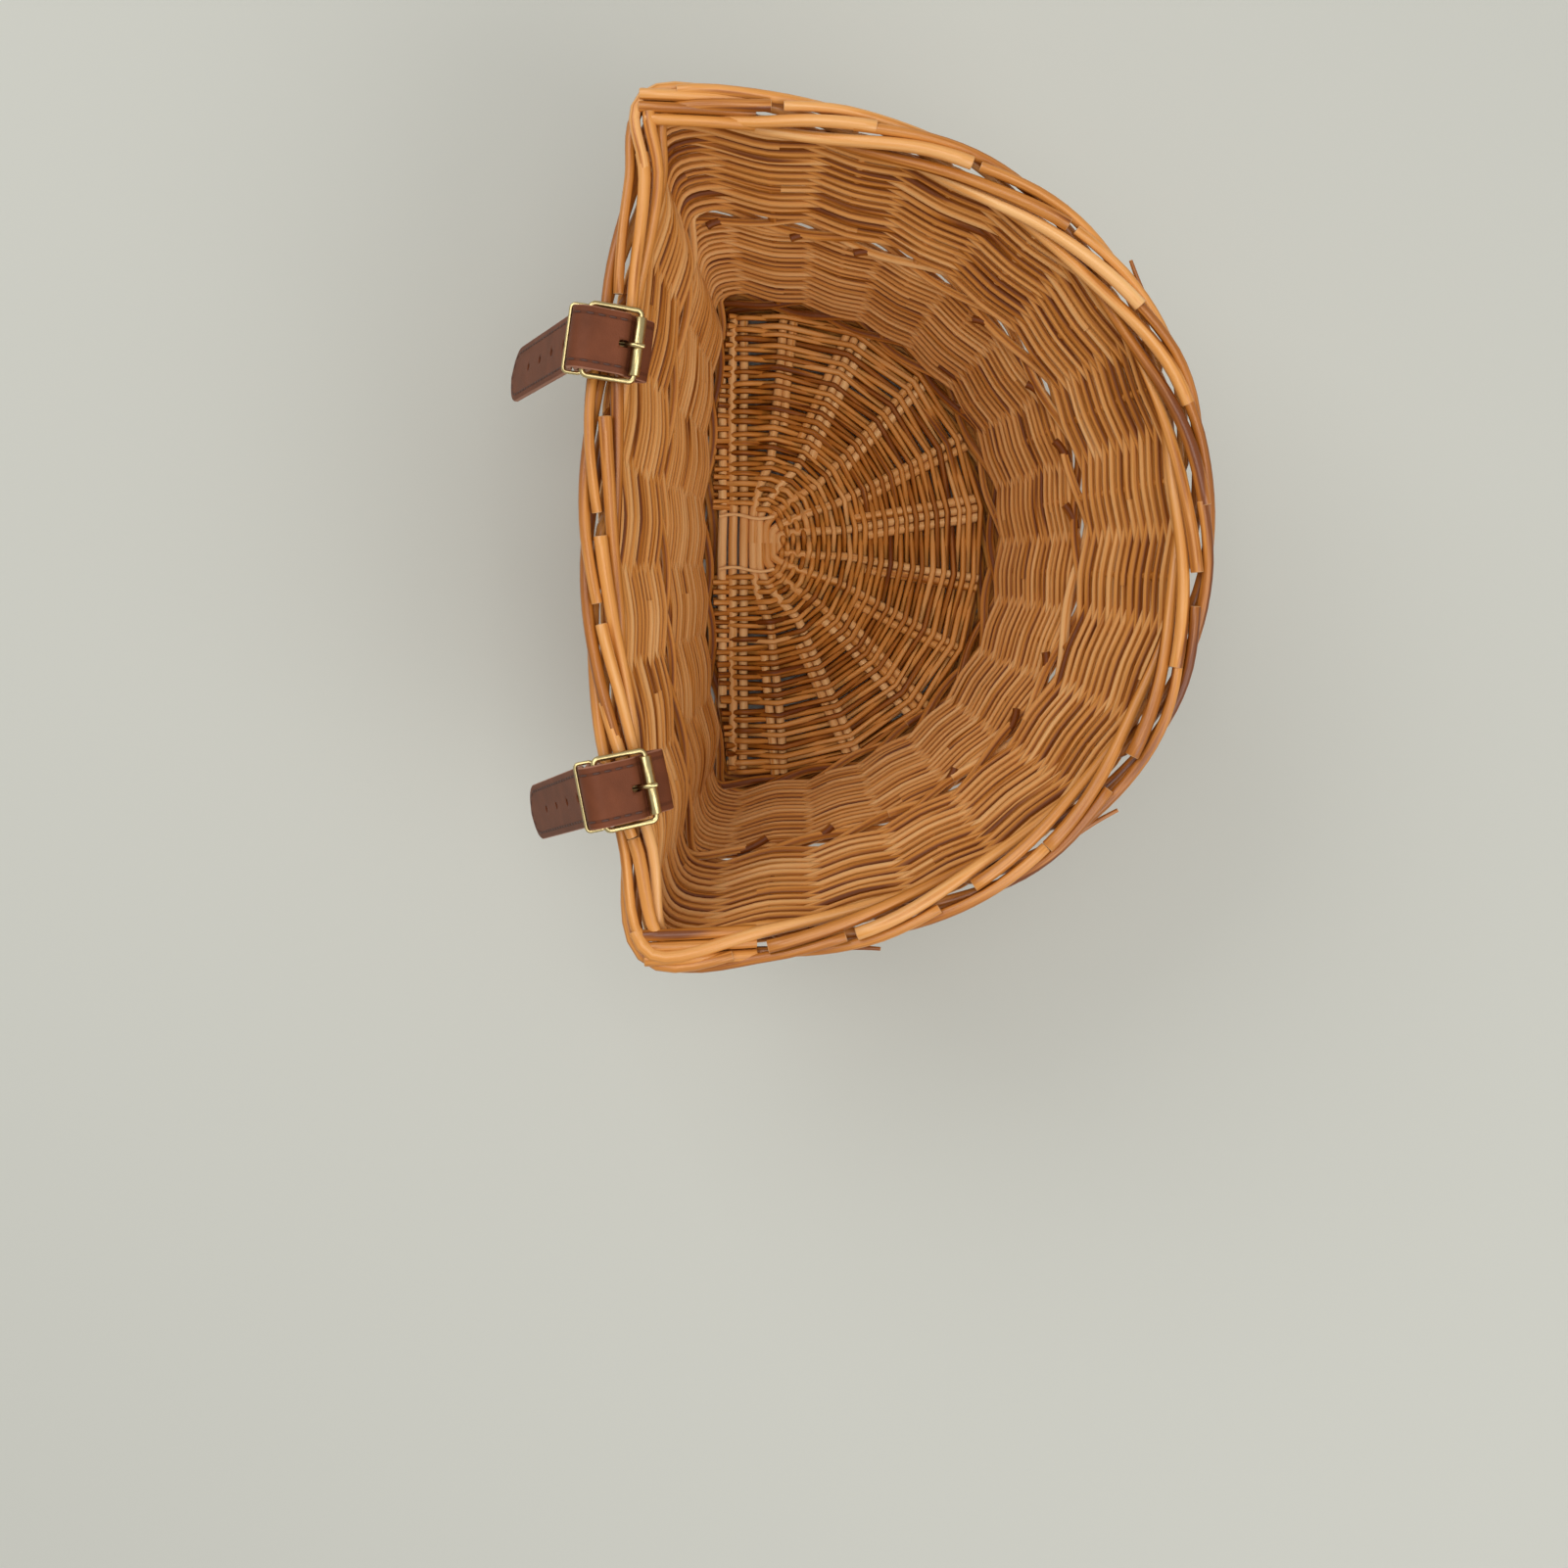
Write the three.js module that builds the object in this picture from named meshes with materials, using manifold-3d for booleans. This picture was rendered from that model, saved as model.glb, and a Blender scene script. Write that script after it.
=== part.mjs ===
// A D-shaped woven willow basket for a bicycle's handlebar, with two buckled leather straps.
// Millimetres, +Z up. The flat back with the straps faces +Y and the curved front faces -Y.
import * as THREE from 'three';
import { mergeVertices } from 'three/addons/utils/BufferGeometryUtils.js';
import Module from 'manifold-3d';

const wasm = await Module();
wasm.setup();

// Plan sizes along the centre line of the wall, at the border and at the foot
const RIM_WIDTH = 342;
const RIM_DEPTH = 242;
const RIM_BOW = 27;
const RIM_HEIGHT = 204;
const FOOT_WIDTH = 240;
const FOOT_DEPTH = 142;
const FOOT_BOW = 9;
const BACK_LEAN = 42;
const FRONT_ROUNDNESS = 2.2;
const OUTLINE_SAMPLES = 2000;

// Stakes: two at the corners, the rest along the back and round the front.
// The back's two end spaces and the sideways shift of its stakes are in stake spaces.
const BACK_STAKES = 7;
const FRONT_STAKES = 14;
const BACK_END_SPACES = 1.6;
const BACK_SHIFT_SPACES = 0.1444;
const STAKE_DIAMETER = 5;
const STAKE_FOOT_CLEARANCE = 1;

// Border: each stake's top runs on along the rim, twisted with its neighbours' tops
const BORDER_STRANDS = 6;
const BORDER_STRAND_GAP = 1.2;
const BORDER_STEPS_PER_STAKE = 2;
const BORDER_START_GAP = 0.08;
const BORDER_END_GAP = 0.3;
const BEND_DROP = 7;

// Weavers and wales. A wale's swing and half width are in units of its reach past a stake.
const UPPER_WEAVER_DIAMETER = 5;
const LOWER_WEAVER_DIAMETER = 4.5;
const MID_WALE_DIAMETER = 4.6;
const FOOT_ROD_DIAMETER = 5.2;
const MID_WALE_HEIGHT = 108;
const WALE_RODS = 3;
const WALE_SEAM = 4;
const WALE_SWING = 8 / 3;
const WALE_HALF_WIDTH = 4 / 3;
const ROW_GAP = 0.6;
const WILLOW_CLEARANCE = 0.3;
const RODS_PER_BAND = 2;
const ROD_SEAM = 0.15;
const CORNER_SPREAD = 0.14;
const CORNER_EASE = 1.15;
const FOOT_FLAT = 0.5;

// Base: back sticks, ribs and the rod woven through the ribs
const BACK_STICKS = 3;
const BACK_STICK_DIAMETER = 5;
const RIB_DIAMETER = 5;
const RIB_STATION_STEP = 2;
const BASE_WEAVER_DIAMETER = 3.6;
const BASE_ROW_GAP = 0.8;
const BASE_LIFT = 1.4;
const BASE_TURN_SHARE = 0.28;
const BASE_HUB_GAP = 7;
const BASE_INNER_SHARE = 0.36;
const BASE_EDGE_GAP = 6;

// Leather straps, placed half way between two back stakes
const STRAP_STATIONS = [2.5, 6.5];
const STRAP_SWAY_DEG = [-2, -9];
const STRAP_WIDTH = 25;
const STRAP_THICKNESS = 2.4;
const STRAP_CLEARANCE = 0.4;
const LAYER_GAP = 0.3;
const TAIL_LENGTH = 104;
const TAIL_SPREAD_DEG = 20;
const TAIL_HINGE_HEIGHT = 2.5;
const HOLE_DIAMETER = 3.2;
const HOLE_PITCH = 20;
const TAIL_HOLES = 4;
const FIRST_TAIL_HOLE = 12;
const TAB_START_DEG = 6;
const TAB_END_DEG = 15;
const LEAST_MITRE = 0.5;

// Brass buckle and keeper
const BUCKLE_WIRE = 3;
const BUCKLE_PITCH = 21;
const BUCKLE_SIDE_GAP = 0.5;
const BUCKLE_CORNER = 2.2;
const HEEL_HEIGHT = 13.5;
const ROLLER_WALL = 0.7;
const ROLLER_CLEARANCE = 0.25;
const ROLLER_END_GAP = 0.4;
const PRONG_DIAMETER = 2.2;
const PRONG_EYE_WIDTH = 4;
const PRONG_EYE_WALL = 1.1;
const PRONG_OVERHANG = 2.4;
const PRONG_LIFT_DEG = 6;
const BUCKLE_LIFT_DEG = 6;
const PRONG_SLOT_CLEARANCE = 0.4;
const KEEPER_WIRE = 1.6;
const KEEPER_HEIGHT = 9.3;
const KEEPER_CLEARANCE = 0.3;
const KEEPER_CORNER = 1.6;

// Values worked out from the sizes above
const STATIONS = BACK_STAKES + FRONT_STAKES + 2;
const LEFT_CORNER = BACK_STAKES + 1;
const STAKE_R = STAKE_DIAMETER / 2;
const TURN_R = (STAKE_DIAMETER + BORDER_STRAND_GAP) / (2 * Math.sin(Math.PI / BORDER_STRANDS));
const BORDER_R = TURN_R + STAKE_R;
const SLOT_HEIGHT = STRAP_THICKNESS + 2 * STRAP_CLEARANCE;
const RIM_UNDERSIDE = RIM_HEIGHT - BORDER_R;
const UP = new THREE.Vector3(0, 0, 1);
const rad = THREE.MathUtils.degToRad;

const willow = (colour) => new THREE.MeshStandardMaterial({ color: colour, roughness: 0.55, metalness: 0 });
const STAKE_WILLOW = willow(0xb4804a);
const UPPER_WILLOW = willow(0x9a6330);
const LOWER_WILLOW = willow(0x8c5a30);
const WALE_WILLOW = willow(0xa06c38);
const FOOT_WILLOW = willow(0x94612f);
const BASE_WILLOW = willow(0x8a542d);
const LEATHER = new THREE.MeshStandardMaterial({ color: 0x764832, roughness: 0.6, metalness: 0 });
const BRASS = new THREE.MeshStandardMaterial({ color: 0xae945a, roughness: 0.3, metalness: 1 });

const basket = new THREE.Group();

function addMesh(name, geometry, material, parent = basket) {
  const mesh = new THREE.Mesh(geometry, material);
  mesh.name = name;
  parent.add(mesh);
  return mesh;
}

// Plan outline of the wall: a bowed back from corner to corner and a superellipse front

function frontAngles(halfWidth, depth) {
  const point = (angle) => frontPoint(angle, halfWidth, depth);
  const lengths = [0];
  for (let i = 1; i <= OUTLINE_SAMPLES; i += 1) {
    const a = point((Math.PI * (i - 1)) / OUTLINE_SAMPLES);
    const b = point((Math.PI * i) / OUTLINE_SAMPLES);
    lengths.push(lengths[i - 1] + a.distanceTo(b));
  }
  const angles = [];
  for (let k = 1; k <= FRONT_STAKES; k += 1) {
    const goal = (lengths[OUTLINE_SAMPLES] * k) / (FRONT_STAKES + 1);
    angles.push((Math.PI * lengths.findIndex((length) => length >= goal)) / OUTLINE_SAMPLES);
  }
  return angles;
}

function frontPoint(angle, halfWidth, depth) {
  const power = 2 / FRONT_ROUNDNESS;
  const across = Math.sign(Math.cos(angle)) * Math.abs(Math.cos(angle)) ** power;
  return new THREE.Vector2(-halfWidth * across, -depth * Math.sin(angle) ** power);
}

function outlineCurve(width, depth, bow, backMiddleY, height) {
  const half = width / 2;
  const cornerY = backMiddleY - bow;
  const points = [new THREE.Vector3(half, cornerY, height)];
  for (let k = 0; k < BACK_STAKES; k += 1) {
    const steps = (BACK_STAKES - 1) / 2 - k;
    const share = (2 * (BACK_SHIFT_SPACES + steps)) / (BACK_STAKES - 1 + BACK_END_SPACES);
    points.push(new THREE.Vector3(half * share, cornerY + bow * (1 - share ** 2), height));
  }
  points.push(new THREE.Vector3(-half, cornerY, height));
  for (const angle of frontAngles(half, depth - bow)) {
    const p = frontPoint(angle, half, depth - bow);
    points.push(new THREE.Vector3(p.x, cornerY + p.y, height));
  }
  return new THREE.CatmullRomCurve3(points, true, 'centripetal');
}

const rimCurve = outlineCurve(RIM_WIDTH, RIM_DEPTH, RIM_BOW, 0, RIM_HEIGHT);
const footCurve = outlineCurve(FOOT_WIDTH, FOOT_DEPTH, FOOT_BOW, -BACK_LEAN, 0);
const turn = (station) => (((station % STATIONS) + STATIONS) % STATIONS) / STATIONS;

function wallPoint(station, height) {
  const foot = footCurve.getPoint(turn(station));
  return foot.lerp(rimCurve.getPoint(turn(station)), height / RIM_HEIGHT);
}

function wallOutward(station, height) {
  const along = footCurve.getTangent(turn(station));
  along.lerp(rimCurve.getTangent(turn(station)), height / RIM_HEIGHT);
  return along.cross(UP).setZ(0).normalize();
}

function wallOffset(station, height, outward) {
  return wallPoint(station, height).addScaledVector(wallOutward(station, height), outward);
}

// Rods: rings of points along a path, each turned by a side vector, closed at both ends

function rodGeometry(path, sideways, across, upright, sides, closed = false) {
  const count = path.length;
  const positions = [];
  for (let i = 0; i < count; i += 1) {
    const before = path[closed ? (i + count - 1) % count : Math.max(i - 1, 0)];
    const after = path[closed ? (i + 1) % count : Math.min(i + 1, count - 1)];
    const into = path[i].clone().sub(before).normalize();
    const out = after.clone().sub(path[i]).normalize();
    const along = into.add(out).normalize();
    const a = sideways[i].clone().addScaledVector(along, -sideways[i].dot(along)).normalize();
    const b = along.clone().cross(a);
    for (let k = 0; k < sides; k += 1) {
      const angle = (2 * Math.PI * k) / sides;
      const p = path[i].clone();
      p.addScaledVector(a, across * Math.cos(angle));
      p.addScaledVector(b, upright * Math.sin(angle));
      positions.push(p.x, p.y, p.z);
    }
  }
  const index = [];
  const rings = closed ? count : count - 1;
  for (let i = 0; i < rings; i += 1) {
    const here = i * sides;
    const next = ((i + 1) % count) * sides;
    for (let k = 0; k < sides; k += 1) {
      const k1 = (k + 1) % sides;
      index.push(here + k, here + k1, next + k, here + k1, next + k1, next + k);
    }
  }
  if (!closed) {
    const last = (count - 1) * sides;
    for (let k = 1; k < sides - 1; k += 1) {
      index.push(0, k + 1, k, last, last + k, last + k + 1);
    }
  }
  const geometry = new THREE.BufferGeometry();
  geometry.setAttribute('position', new THREE.Float32BufferAttribute(positions, 3));
  geometry.setIndex(index);
  return geometry;
}

// Booleans

function toSolid(geometry) {
  const bare = geometry.clone();
  bare.deleteAttribute('normal');
  bare.deleteAttribute('uv');
  const merged = mergeVertices(bare, 1e-3);
  const mesh = new wasm.Mesh({
    numProp: 3,
    vertProperties: new Float32Array(merged.attributes.position.array),
    triVerts: new Uint32Array(merged.index.array),
  });
  return new wasm.Manifold(mesh);
}

function fromSolid(solid) {
  const mesh = solid.getMesh();
  const geometry = new THREE.BufferGeometry();
  geometry.setAttribute('position', new THREE.BufferAttribute(new Float32Array(mesh.vertProperties), 3));
  geometry.setIndex(new THREE.BufferAttribute(new Uint32Array(mesh.triVerts), 1));
  return geometry;
}

function cut(geometry, tools) {
  let solid = toSolid(geometry);
  for (const tool of tools) {
    solid = solid.subtract(toSolid(tool));
  }
  return fromSolid(solid);
}

function join(geometries) {
  return fromSolid(geometries.map(toSolid).reduce((whole, piece) => whole.add(piece)));
}

// The least distance between two neighbouring stakes at a height
function leastPitch(height) {
  let least = RIM_WIDTH;
  for (let n = 0; n < STATIONS; n += 1) {
    least = Math.min(least, wallPoint(n, height).distanceTo(wallPoint(n + 1, height)));
  }
  return least;
}

// How far off the line of stakes a rod's centre runs to clear a stake that it passes on a slant.
// The swing is the rod's sideways move between two stakes, in units of that distance.
function passingReach(diameter, height, swing) {
  const clear = STAKE_R + diameter / 2 + WILLOW_CLEARANCE;
  return clear / Math.sqrt(1 - ((swing * clear) / leastPitch(height)) ** 2);
}

// A rod swings a little wider where it goes round a corner
function cornerEase(station) {
  const nearest = Math.round(station) % STATIONS;
  const corner = nearest === 0 || nearest === LEFT_CORNER;
  return corner && Math.abs(station - Math.round(station)) <= ROD_SEAM ? CORNER_EASE : 1;
}

// The stations where a rod gets a point: a share of each gap, and a pair round each corner
function rodStations(from, to, perStake) {
  const stations = [];
  for (let i = from * perStake; i <= to * perStake; i += 1) {
    const station = i / perStake;
    const corner = station % STATIONS === 0 || station % STATIONS === LEFT_CORNER;
    const inset = station === from ? ROD_SEAM : station === to ? -ROD_SEAM : 0;
    if (corner && inset === 0) {
      stations.push(station - CORNER_SPREAD, station + CORNER_SPREAD);
    } else {
      stations.push(station + inset);
    }
  }
  return stations;
}

// Wales: rods twisted round the line of stakes, so that two lie outside and one inside at each stake

function waleShape(diameter, height) {
  const reach = passingReach(diameter, height, WALE_SWING);
  const radial = WALE_HALF_WIDTH * reach;
  const middle = reach - radial / 2;
  const vertical = (diameter + ROW_GAP) / (2 * Math.sin(Math.PI / 3));
  const halfHeight = vertical * Math.sin(Math.PI / 3) + diameter / 2;
  return { radial, middle, vertical, halfHeight };
}

function waleRod(number, height, diameter) {
  const shape = waleShape(diameter, height);
  const path = [];
  const sideways = [];
  for (const station of rodStations(WALE_SEAM, WALE_SEAM + STATIONS, 2)) {
    const phase = Math.PI / 3 + (2 * Math.PI * (station - number)) / WALE_RODS;
    const z = height + shape.vertical * Math.sin(phase);
    const outward = shape.middle + shape.radial * Math.cos(phase);
    path.push(wallOffset(station, z, outward * cornerEase(station)));
    sideways.push(wallOutward(station, z));
  }
  return rodGeometry(path, sideways, diameter / 2, diameter / 2, 4);
}

const footShape = waleShape(FOOT_ROD_DIAMETER, 0);
const midShape = waleShape(MID_WALE_DIAMETER, MID_WALE_HEIGHT);
const FOOT_HEIGHT = footShape.halfHeight - FOOT_FLAT;
const FOOT_TOP = FOOT_HEIGHT + footShape.halfHeight;

const floorBlock = new THREE.BoxGeometry(2 * RIM_WIDTH, 2 * RIM_DEPTH, RIM_HEIGHT);
floorBlock.translate(0, -RIM_DEPTH / 2, -RIM_HEIGHT / 2);
for (let n = 0; n < WALE_RODS; n += 1) {
  const rod = waleRod(n, FOOT_HEIGHT, FOOT_ROD_DIAMETER);
  addMesh(`foot_border_${n + 1}`, cut(rod, [floorBlock]), FOOT_WILLOW);
  addMesh(`mid_wale_${n + 1}`, waleRod(n, MID_WALE_HEIGHT, MID_WALE_DIAMETER), WALE_WILLOW);
}

// Stakes: up the wall, then along the rim as one strand of the rolled border

function stakeGeometry(station) {
  const path = [];
  const sideways = [];
  const push = (at, height, outward) => {
    path.push(wallOffset(at, height, outward));
    sideways.push(wallOutward(at, height));
  };
  push(station, STAKE_FOOT_CLEARANCE, 0);
  push(station, MID_WALE_HEIGHT, 0);
  push(station, RIM_HEIGHT - TURN_R - BEND_DROP, 0);
  const span = BORDER_STRANDS * BORDER_STEPS_PER_STAKE;
  for (let i = 0; i <= span; i += 1) {
    const nudge = i === 0 ? BORDER_START_GAP : i === span ? -BORDER_END_GAP : 0;
    const along = i / BORDER_STEPS_PER_STAKE + nudge;
    const phase = (2 * Math.PI * along) / BORDER_STRANDS - Math.PI / 2;
    const centre = wallPoint(station + along, RIM_HEIGHT);
    const outward = wallOutward(station + along, RIM_HEIGHT);
    centre.addScaledVector(outward, TURN_R * Math.cos(phase));
    centre.z += TURN_R * Math.sin(phase);
    path.push(centre);
    sideways.push(outward);
  }
  return rodGeometry(path, sideways, STAKE_R, STAKE_R, 4);
}

for (let n = 0; n < STATIONS; n += 1) {
  addMesh(`stake_${String(n + 1).padStart(2, '0')}`, stakeGeometry(n), STAKE_WILLOW);
}

// Wall weavers: unbroken rods that climb round the wall, outside one stake and inside the next

function weaverBand(name, bottom, top, diameter, material) {
  const pitch = diameter + ROW_GAP;
  const first = bottom + diameter / 2 + ROW_GAP;
  const crossings = Math.floor((STATIONS * (top - ROW_GAP - diameter / 2 - first)) / pitch);
  const reach = passingReach(diameter, bottom, 2);
  for (let rod = 0; rod < RODS_PER_BAND; rod += 1) {
    const start = Math.floor((crossings * rod) / RODS_PER_BAND);
    const end = Math.floor((crossings * (rod + 1)) / RODS_PER_BAND);
    const path = [];
    const sideways = [];
    for (const station of rodStations(start, end, 1)) {
      const height = first + (pitch * station) / STATIONS;
      const side = Math.round(station) % 2 === 0 ? 1 : -1;
      path.push(wallOffset(station, height, side * reach * cornerEase(station)));
      sideways.push(wallOutward(station, height));
    }
    const geometry = rodGeometry(path, sideways, diameter / 2, diameter / 2, 4);
    addMesh(`${name}_${rod + 1}`, geometry, material);
  }
}

const BASE_HEIGHT = FOOT_TOP + WILLOW_CLEARANCE + Math.max(RIB_DIAMETER, BACK_STICK_DIAMETER) / 2;
const BASE_TOP = BASE_HEIGHT + Math.max(RIB_DIAMETER, BACK_STICK_DIAMETER) / 2;
const MID_BOTTOM = MID_WALE_HEIGHT - midShape.halfHeight;
const MID_TOP = MID_WALE_HEIGHT + midShape.halfHeight;
weaverBand('lower_weaver', BASE_TOP, MID_BOTTOM, LOWER_WEAVER_DIAMETER, LOWER_WILLOW);
weaverBand('upper_weaver', MID_TOP, RIM_UNDERSIDE - SLOT_HEIGHT, UPPER_WEAVER_DIAMETER, UPPER_WILLOW);

// Base: straight sticks along the back, ribs fanned from a hub, and one rod woven to and fro

const baseOutline = (station) => wallPoint(station, BASE_HEIGHT);
const rightCorner = baseOutline(0);
const stickPitch = BACK_STICK_DIAMETER + ROW_GAP;
const firstStickY = rightCorner.y - STAKE_R - BACK_STICK_DIAMETER / 2 - ROW_GAP;
for (let n = 0; n < BACK_STICKS; n += 1) {
  const y = firstStickY - n * stickPitch;
  const reach = rightCorner.x + footShape.middle;
  const path = [new THREE.Vector3(-reach, y, BASE_HEIGHT), new THREE.Vector3(reach, y, BASE_HEIGHT)];
  const stick = rodGeometry(path, [UP, UP], BACK_STICK_DIAMETER / 2, BACK_STICK_DIAMETER / 2, 8);
  addMesh(`base_back_stick_${n + 1}`, stick, BASE_WILLOW);
}

const hubY = firstStickY - (BACK_STICKS - 1) * stickPitch - BACK_STICK_DIAMETER / 2 - BASE_HUB_GAP;
const hub = new THREE.Vector3(0, hubY, BASE_HEIGHT);
const frontMiddle = LEFT_CORNER + (FRONT_STAKES + 1) / 2;
const ribsEachSide = Math.floor((FRONT_STAKES / 2 - 1) / RIB_STATION_STEP);
const ribStations = [];
for (let k = -ribsEachSide; k <= ribsEachSide; k += 1) {
  ribStations.push(frontMiddle + k * RIB_STATION_STEP);
}
const ribDirection = (station) => baseOutline(station).sub(hub).normalize();
let leastAngle = Math.PI;
for (let k = 1; k < ribStations.length; k += 1) {
  leastAngle = Math.min(leastAngle, ribDirection(ribStations[k]).angleTo(ribDirection(ribStations[k - 1])));
}
const ribStart = (RIB_DIAMETER + ROW_GAP) / (2 * Math.sin(leastAngle / 2));
ribStations.forEach((station, n) => {
  const direction = ribDirection(station);
  const inner = hub.clone().addScaledVector(direction, ribStart);
  const outer = baseOutline(station).addScaledVector(direction, footShape.middle);
  const rib = rodGeometry([inner, outer], [UP, UP], RIB_DIAMETER / 2, RIB_DIAMETER / 2, 8);
  addMesh(`base_rib_${n + 1}`, rib, BASE_WILLOW);
});

function baseWeaverGeometry() {
  const lift = RIB_DIAMETER / 2 + BASE_WEAVER_DIAMETER / 2 + BASE_LIFT;
  const spans = ribStations.map((station) => baseOutline(station).distanceTo(hub));
  const pitchShare = (BASE_WEAVER_DIAMETER + BASE_ROW_GAP) / Math.min(...spans);
  const edgeShare = 1 - (STAKE_R + BASE_WEAVER_DIAMETER / 2 + BASE_EDGE_GAP) / Math.min(...spans);
  const rows = Math.floor((edgeShare - BASE_INNER_SHARE) / pitchShare) + 1;
  const path = [];
  let over = 1;
  const scaled = (station, share, z) => {
    const p = hub.clone().lerp(baseOutline(station), share);
    p.z = BASE_HEIGHT + z;
    return p;
  };
  const beyond = RIB_STATION_STEP * BASE_TURN_SHARE;
  const ends = [ribStations[0] - beyond, ribStations.at(-1) + beyond];
  for (let row = 0; row < rows; row += 1) {
    const share = edgeShare - (rows - 1 - row) * pitchShare;
    const stations = row % 2 === 0 ? ribStations : [...ribStations].reverse();
    const [from, to] = row % 2 === 0 ? ends : [...ends].reverse();
    path.push(scaled(from, share, 0));
    for (const station of stations) {
      path.push(scaled(station, share, over * lift));
      over = -over;
    }
    path.push(scaled(to, share, 0));
    if (row < rows - 1) {
      const bend = scaled(to, share + pitchShare / 2, 0);
      const back = scaled(stations.at(-1), share + pitchShare / 2, 0);
      bend.add(bend.clone().sub(back).normalize().multiplyScalar(BASE_WEAVER_DIAMETER));
      path.push(bend);
    }
  }
  const sideways = path.map(() => UP);
  return rodGeometry(path, sideways, BASE_WEAVER_DIAMETER / 2, BASE_WEAVER_DIAMETER / 2, 4);
}

addMesh('base_weaver', baseWeaverGeometry(), BASE_WILLOW);

// Straps. In each strap's frame x runs along the rim, y points out of the basket and the border's
// centre is the origin. The strap's side view is drawn in the y and z of that frame.

const HUG_R = BORDER_R + STRAP_CLEARANCE + STRAP_THICKNESS / 2;
const OUTER_LAYER = HUG_R + STRAP_THICKNESS + LAYER_GAP;
const WRAP_R = BUCKLE_WIRE / 2 + LAYER_GAP + STRAP_THICKNESS / 2;
const OVER_R = WRAP_R + STRAP_THICKNESS + LAYER_GAP;
const heel = new THREE.Vector2(OUTER_LAYER - WRAP_R, HEEL_HEIGHT);
const TAIL_Y = heel.x + OVER_R;
const ROLLER_R = BUCKLE_WIRE / 2 + ROLLER_CLEARANCE + ROLLER_WALL;
const ROLLER_SEAT = HUG_R + STRAP_THICKNESS / 2 + LAYER_GAP + ROLLER_R;

// The frame leans on its heel bar until the roller lies on the strap where that hugs the border
const leanCosine = (ROLLER_SEAT ** 2 - heel.lengthSq() - BUCKLE_PITCH ** 2) / (2 * BUCKLE_PITCH * heel.length());
const buckleAngle = heel.angle() + Math.acos(leanCosine);
const buckleAlong = new THREE.Vector2(Math.cos(buckleAngle), Math.sin(buckleAngle));
const buckleUp = new THREE.Vector2(buckleAlong.y, -buckleAlong.x);
const inBuckle = (along, up) => heel.clone().addScaledVector(buckleAlong, along).addScaledVector(buckleUp, up);

function strapCentreLine() {
  const tangentAngle = heel.angle() + Math.acos((HUG_R - OVER_R) / heel.length());
  const line = new THREE.Path();
  line.absarc(0, 0, HUG_R, rad(TAB_START_DEG), rad(TAB_END_DEG), false);
  line.absarc(heel.x, heel.y, WRAP_R, Math.PI, 0, true);
  line.absellipse(0, 0, OUTER_LAYER, HUG_R, 0, -Math.PI / 2, true, 0);
  line.absarc(0, 0, HUG_R, -Math.PI / 2, tangentAngle - 2 * Math.PI, true);
  line.absarc(heel.x, heel.y, OVER_R, tangentAngle, 0, true);
  line.lineTo(TAIL_Y, TAIL_HINGE_HEIGHT + STRAP_THICKNESS / 2 + LAYER_GAP);
  const points = [];
  for (const p of line.getPoints(3)) {
    if (points.length === 0 || p.distanceTo(points.at(-1)) > LAYER_GAP) {
      points.push(p);
    }
  }
  return points;
}

function ribbonShape(points) {
  const left = [];
  const right = [];
  points.forEach((p, i) => {
    const before = points[Math.max(i - 1, 0)];
    const after = points[Math.min(i + 1, points.length - 1)];
    const into = i === 0 ? after.clone().sub(p).normalize() : p.clone().sub(before).normalize();
    const out = i === points.length - 1 ? into : after.clone().sub(p).normalize();
    const along = into.clone().add(out).normalize();
    const half = STRAP_THICKNESS / 2 / Math.max(along.dot(into), LEAST_MITRE);
    const normal = new THREE.Vector2(-along.y, along.x);
    left.push(p.clone().addScaledVector(normal, half));
    right.push(p.clone().addScaledVector(normal, -half));
  });
  return new THREE.Shape([...left, ...right.reverse()]);
}

// An extruded side view, turned so that it spans the strap's width
function sideViewSolid(shape, width) {
  const geometry = new THREE.ExtrudeGeometry(shape, { depth: width, bevelEnabled: false, steps: 1 });
  geometry.translate(0, 0, -width / 2);
  const swap = new THREE.Matrix4().set(0, 0, 1, 0, 1, 0, 0, 0, 0, 1, 0, 0, 0, 0, 0, 1);
  return geometry.applyMatrix4(swap);
}

const prongEyeR = BUCKLE_WIRE / 2 + ROLLER_CLEARANCE + PRONG_EYE_WALL;
const prongRoot = inBuckle(prongEyeR - PRONG_EYE_WALL / 2, PRONG_EYE_WALL / 2);
const prongRest = inBuckle(BUCKLE_PITCH, ROLLER_R + LAYER_GAP + PRONG_DIAMETER / 2);
const prongTip = prongRest.clone().sub(prongRoot).setLength(PRONG_OVERHANG).add(prongRest);

function strapLoopGeometry() {
  const loop = sideViewSolid(ribbonShape(strapCentreLine()), STRAP_WIDTH);
  const armLength = prongTip.distanceTo(prongRoot);
  const travel = Math.sin(rad(PRONG_LIFT_DEG + BUCKLE_LIFT_DEG)) * armLength;
  const slotWidth = PRONG_DIAMETER + 2 * PRONG_SLOT_CLEARANCE;
  const armAngle = prongTip.clone().sub(prongRoot).angle();
  const slot = new THREE.BoxGeometry(slotWidth, armLength, slotWidth + travel / 2);
  slot.translate(0, armLength / 2, -travel / 4);
  slot.rotateX(armAngle);
  slot.translate(0, prongRoot.x, prongRoot.y);
  const eye = new THREE.CylinderGeometry(
    prongEyeR + PRONG_SLOT_CLEARANCE,
    prongEyeR + PRONG_SLOT_CLEARANCE,
    PRONG_EYE_WIDTH + 2 * PRONG_SLOT_CLEARANCE,
    16,
  );
  eye.rotateZ(Math.PI / 2);
  eye.translate(0, heel.x, heel.y);
  return cut(loop, [slot, eye]);
}

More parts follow.
